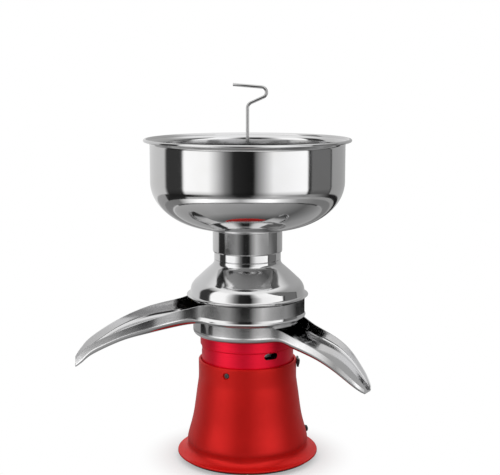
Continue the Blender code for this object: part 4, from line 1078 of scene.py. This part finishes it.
def make_small_parts(m):
    make_switch(m["black_plastic"])
    gland = rounded([(3.0, 82), (5.0, 82), (5.0, 89.0), (7.0, 89.0), (7.0, 92), (4.6, 101), (3.0, 101)], 0.5)
    piece("cable_gland_moulded", placed(turned(gland, SMALL_ROUND), GLAND_TURN, GLAND_HEIGHT, lie=True),
          m["black_plastic"], "housing", ["cable_gland"])
    outline = rounded([(0, 60), (2.0, 60), (2.0, 67.9), (3.7, 67.9), (3.7, 68.3), (2.9, 68.8), (0, 68.8)], 0.2)
    for number, azimuth in enumerate(CASING_SCREW_TURNS, 1):
        screw = cross_slotted(turned(outline, SMALL_ROUND), 68.8, 2.2)
        piece(f"casing_screw_{number}_cross", placed(screw, azimuth, CASING_SCREW_HEIGHT, lie=True),
              m["dark_screw"], "housing", [f"casing_screw_{number}"], 25)
    outline = rounded([(0, -0.3), (3.0, -0.3), (3.5, -0.9), (3.5, -1.7), (1.5, -1.7), (1.5, -6.1), (0, -6.1)],
                      0.2)
    for number, azimuth in enumerate(COVER_SCREW_TURNS, 1):
        screw = rotated(cross_slotted(turned(outline, SMALL_ROUND), -0.3, 2.0), 180, "X")
        piece(f"cover_screw_{number}_cross", placed(screw, azimuth, 0, COVER_SCREW_CIRCLE), m["zinc_steel"],
              "housing", [f"cover_screw_{number}"], 25)
    outline = [(0, -4), (6.2, -4), (7.2, -4), (8, -3.2), (7.5, -0.3), (2.5, -0.3), (2.5, 3.2), (0, 3.2)]
    for number, azimuth in enumerate(FOOT_TURNS, 1):
        foot = placed(turned(rounded(outline, 0.5), SMALL_ROUND), azimuth, 0, FOOT_CIRCLE)
        piece(f"foot_{number}_moulded", foot, m["foot_rubber"], "housing", [f"foot_{number}"])
    make_cover(m["black_plastic"])


def cross_slotted(mesh, face, reach):
    """Cut a cross recess into a screw head whose face is at a height."""
    for turn in (0, 90):
        mesh = cut(mesh, rotated(block((-reach, -0.45, face - 1.1), (reach, 0.45, face + 1), 0), turn, "Z"))
    return mesh


def make_cover(finish):
    """Bottom cover with its vents, holes for screws and feet, and two shallow grooves."""
    radius, bottom, top = extents("bottom_cover")
    cutters = []
    for screw_turn, vent_turn in zip(COVER_SCREW_TURNS, VENT_TURNS):
        screw_hole = turned([(0, -1), (4.0, -1), (4.0, 2.0), (1.8, 2.0), (1.8, 5), (0, 5)], SMALL_ROUND)
        cutters += [placed(screw_hole, screw_turn, 0, COVER_SCREW_CIRCLE),
                    placed(cylinder(7.0, -1, 5), vent_turn, 0, VENT_CIRCLE)]
    cutters += [placed(cylinder(2.8, -1, 5), azimuth, 0, FOOT_CIRCLE) for azimuth in FOOT_TURNS]
    for groove in (52.0, 66.0):
        cutters.append(turned([(groove, -1), (groove + 1.6, -1), (groove + 1.6, 0.5), (groove, 0.5)], MEDIUM_ROUND))
    plate = turned(rounded([(0, bottom), (radius, bottom), (radius, top), (0, top)], 1.0))
    piece("bottom_cover_moulded", cut(plate, *cutters), finish, "housing", ["bottom_cover"])


def make_switch(finish):
    """Rocker switch: a bezel with a pocket, and a curved rocker tilted to off."""
    bezel = block((70.3, -10, SWITCH_HEIGHT - 5.4), (73.4, 10, SWITCH_HEIGHT + 6.0), 0.7)
    neck = block((52, -7.5, SWITCH_HEIGHT - 4.1), (71, 7.5, SWITCH_HEIGHT + 4.1), 0.2)
    pocket = block((64.5, -6.3, SWITCH_HEIGHT - 3.3), (75, 6.3, SWITCH_HEIGHT + 3.3), 0.2)
    body = cut(join_mesh(bezel, neck), pocket)
    piece("switch_bezel", body, finish, "housing", ["switch_body"], 25)
    face = arc(-16.0, 0, 20.2, 11, -11, 10)
    outline = [(2.9, -2.3), (-3.0, -1.4), (-3.0, 1.4), (2.9, 2.3)] + face
    rings = [[(x - (inset if x > 3 else 0), y, z * (1 - inset * 0.1)) for x, z in outline]
             for y, inset in ((-6.0, 0.4), (-5.7, 0.12), (-5.3, 0.0), (5.3, 0.0), (5.7, 0.12), (6.0, 0.4))]
    rocker = placed(rotated(loft(rings), 10, "Y"), 0, SWITCH_HEIGHT, 70.5)
    piece("switch_rocker_moulded", rocker, finish, "rocker", ["switch_rocker"])


def dress_cad_nodes(m):
    """Give every CAD node that is still shown its finish: the record's slot names are the finishes' names."""
    fallback = {"polished_steel": "ring_steel", "tap_steel": "fitting_steel"}
    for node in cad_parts.values():
        if not node.hide_render:
            slot = node.data.materials[0].name.split(".")[0]
            node.material_slots[0].link = "OBJECT"
            node.material_slots[0].material = m[fallback.get(slot, slot)]


def build():
    make_camera()
    make_world()
    make_floor()
    m = make_materials()
    make_bowl(m["bowl_steel"])
    make_collar(m["collar_steel"])
    make_float_chamber(m["bell_steel"])
    make_receivers(m["ring_steel"])
    make_rod(m["rod_steel"])
    make_tap_and_float(m)
    make_drum(m)
    make_housing(m["red_paint"])
    make_casing(m["red_anodised"])
    make_small_parts(m)
    dress_cad_nodes(m)
    bpy.context.scene.view_settings.view_transform = "Standard"


build()
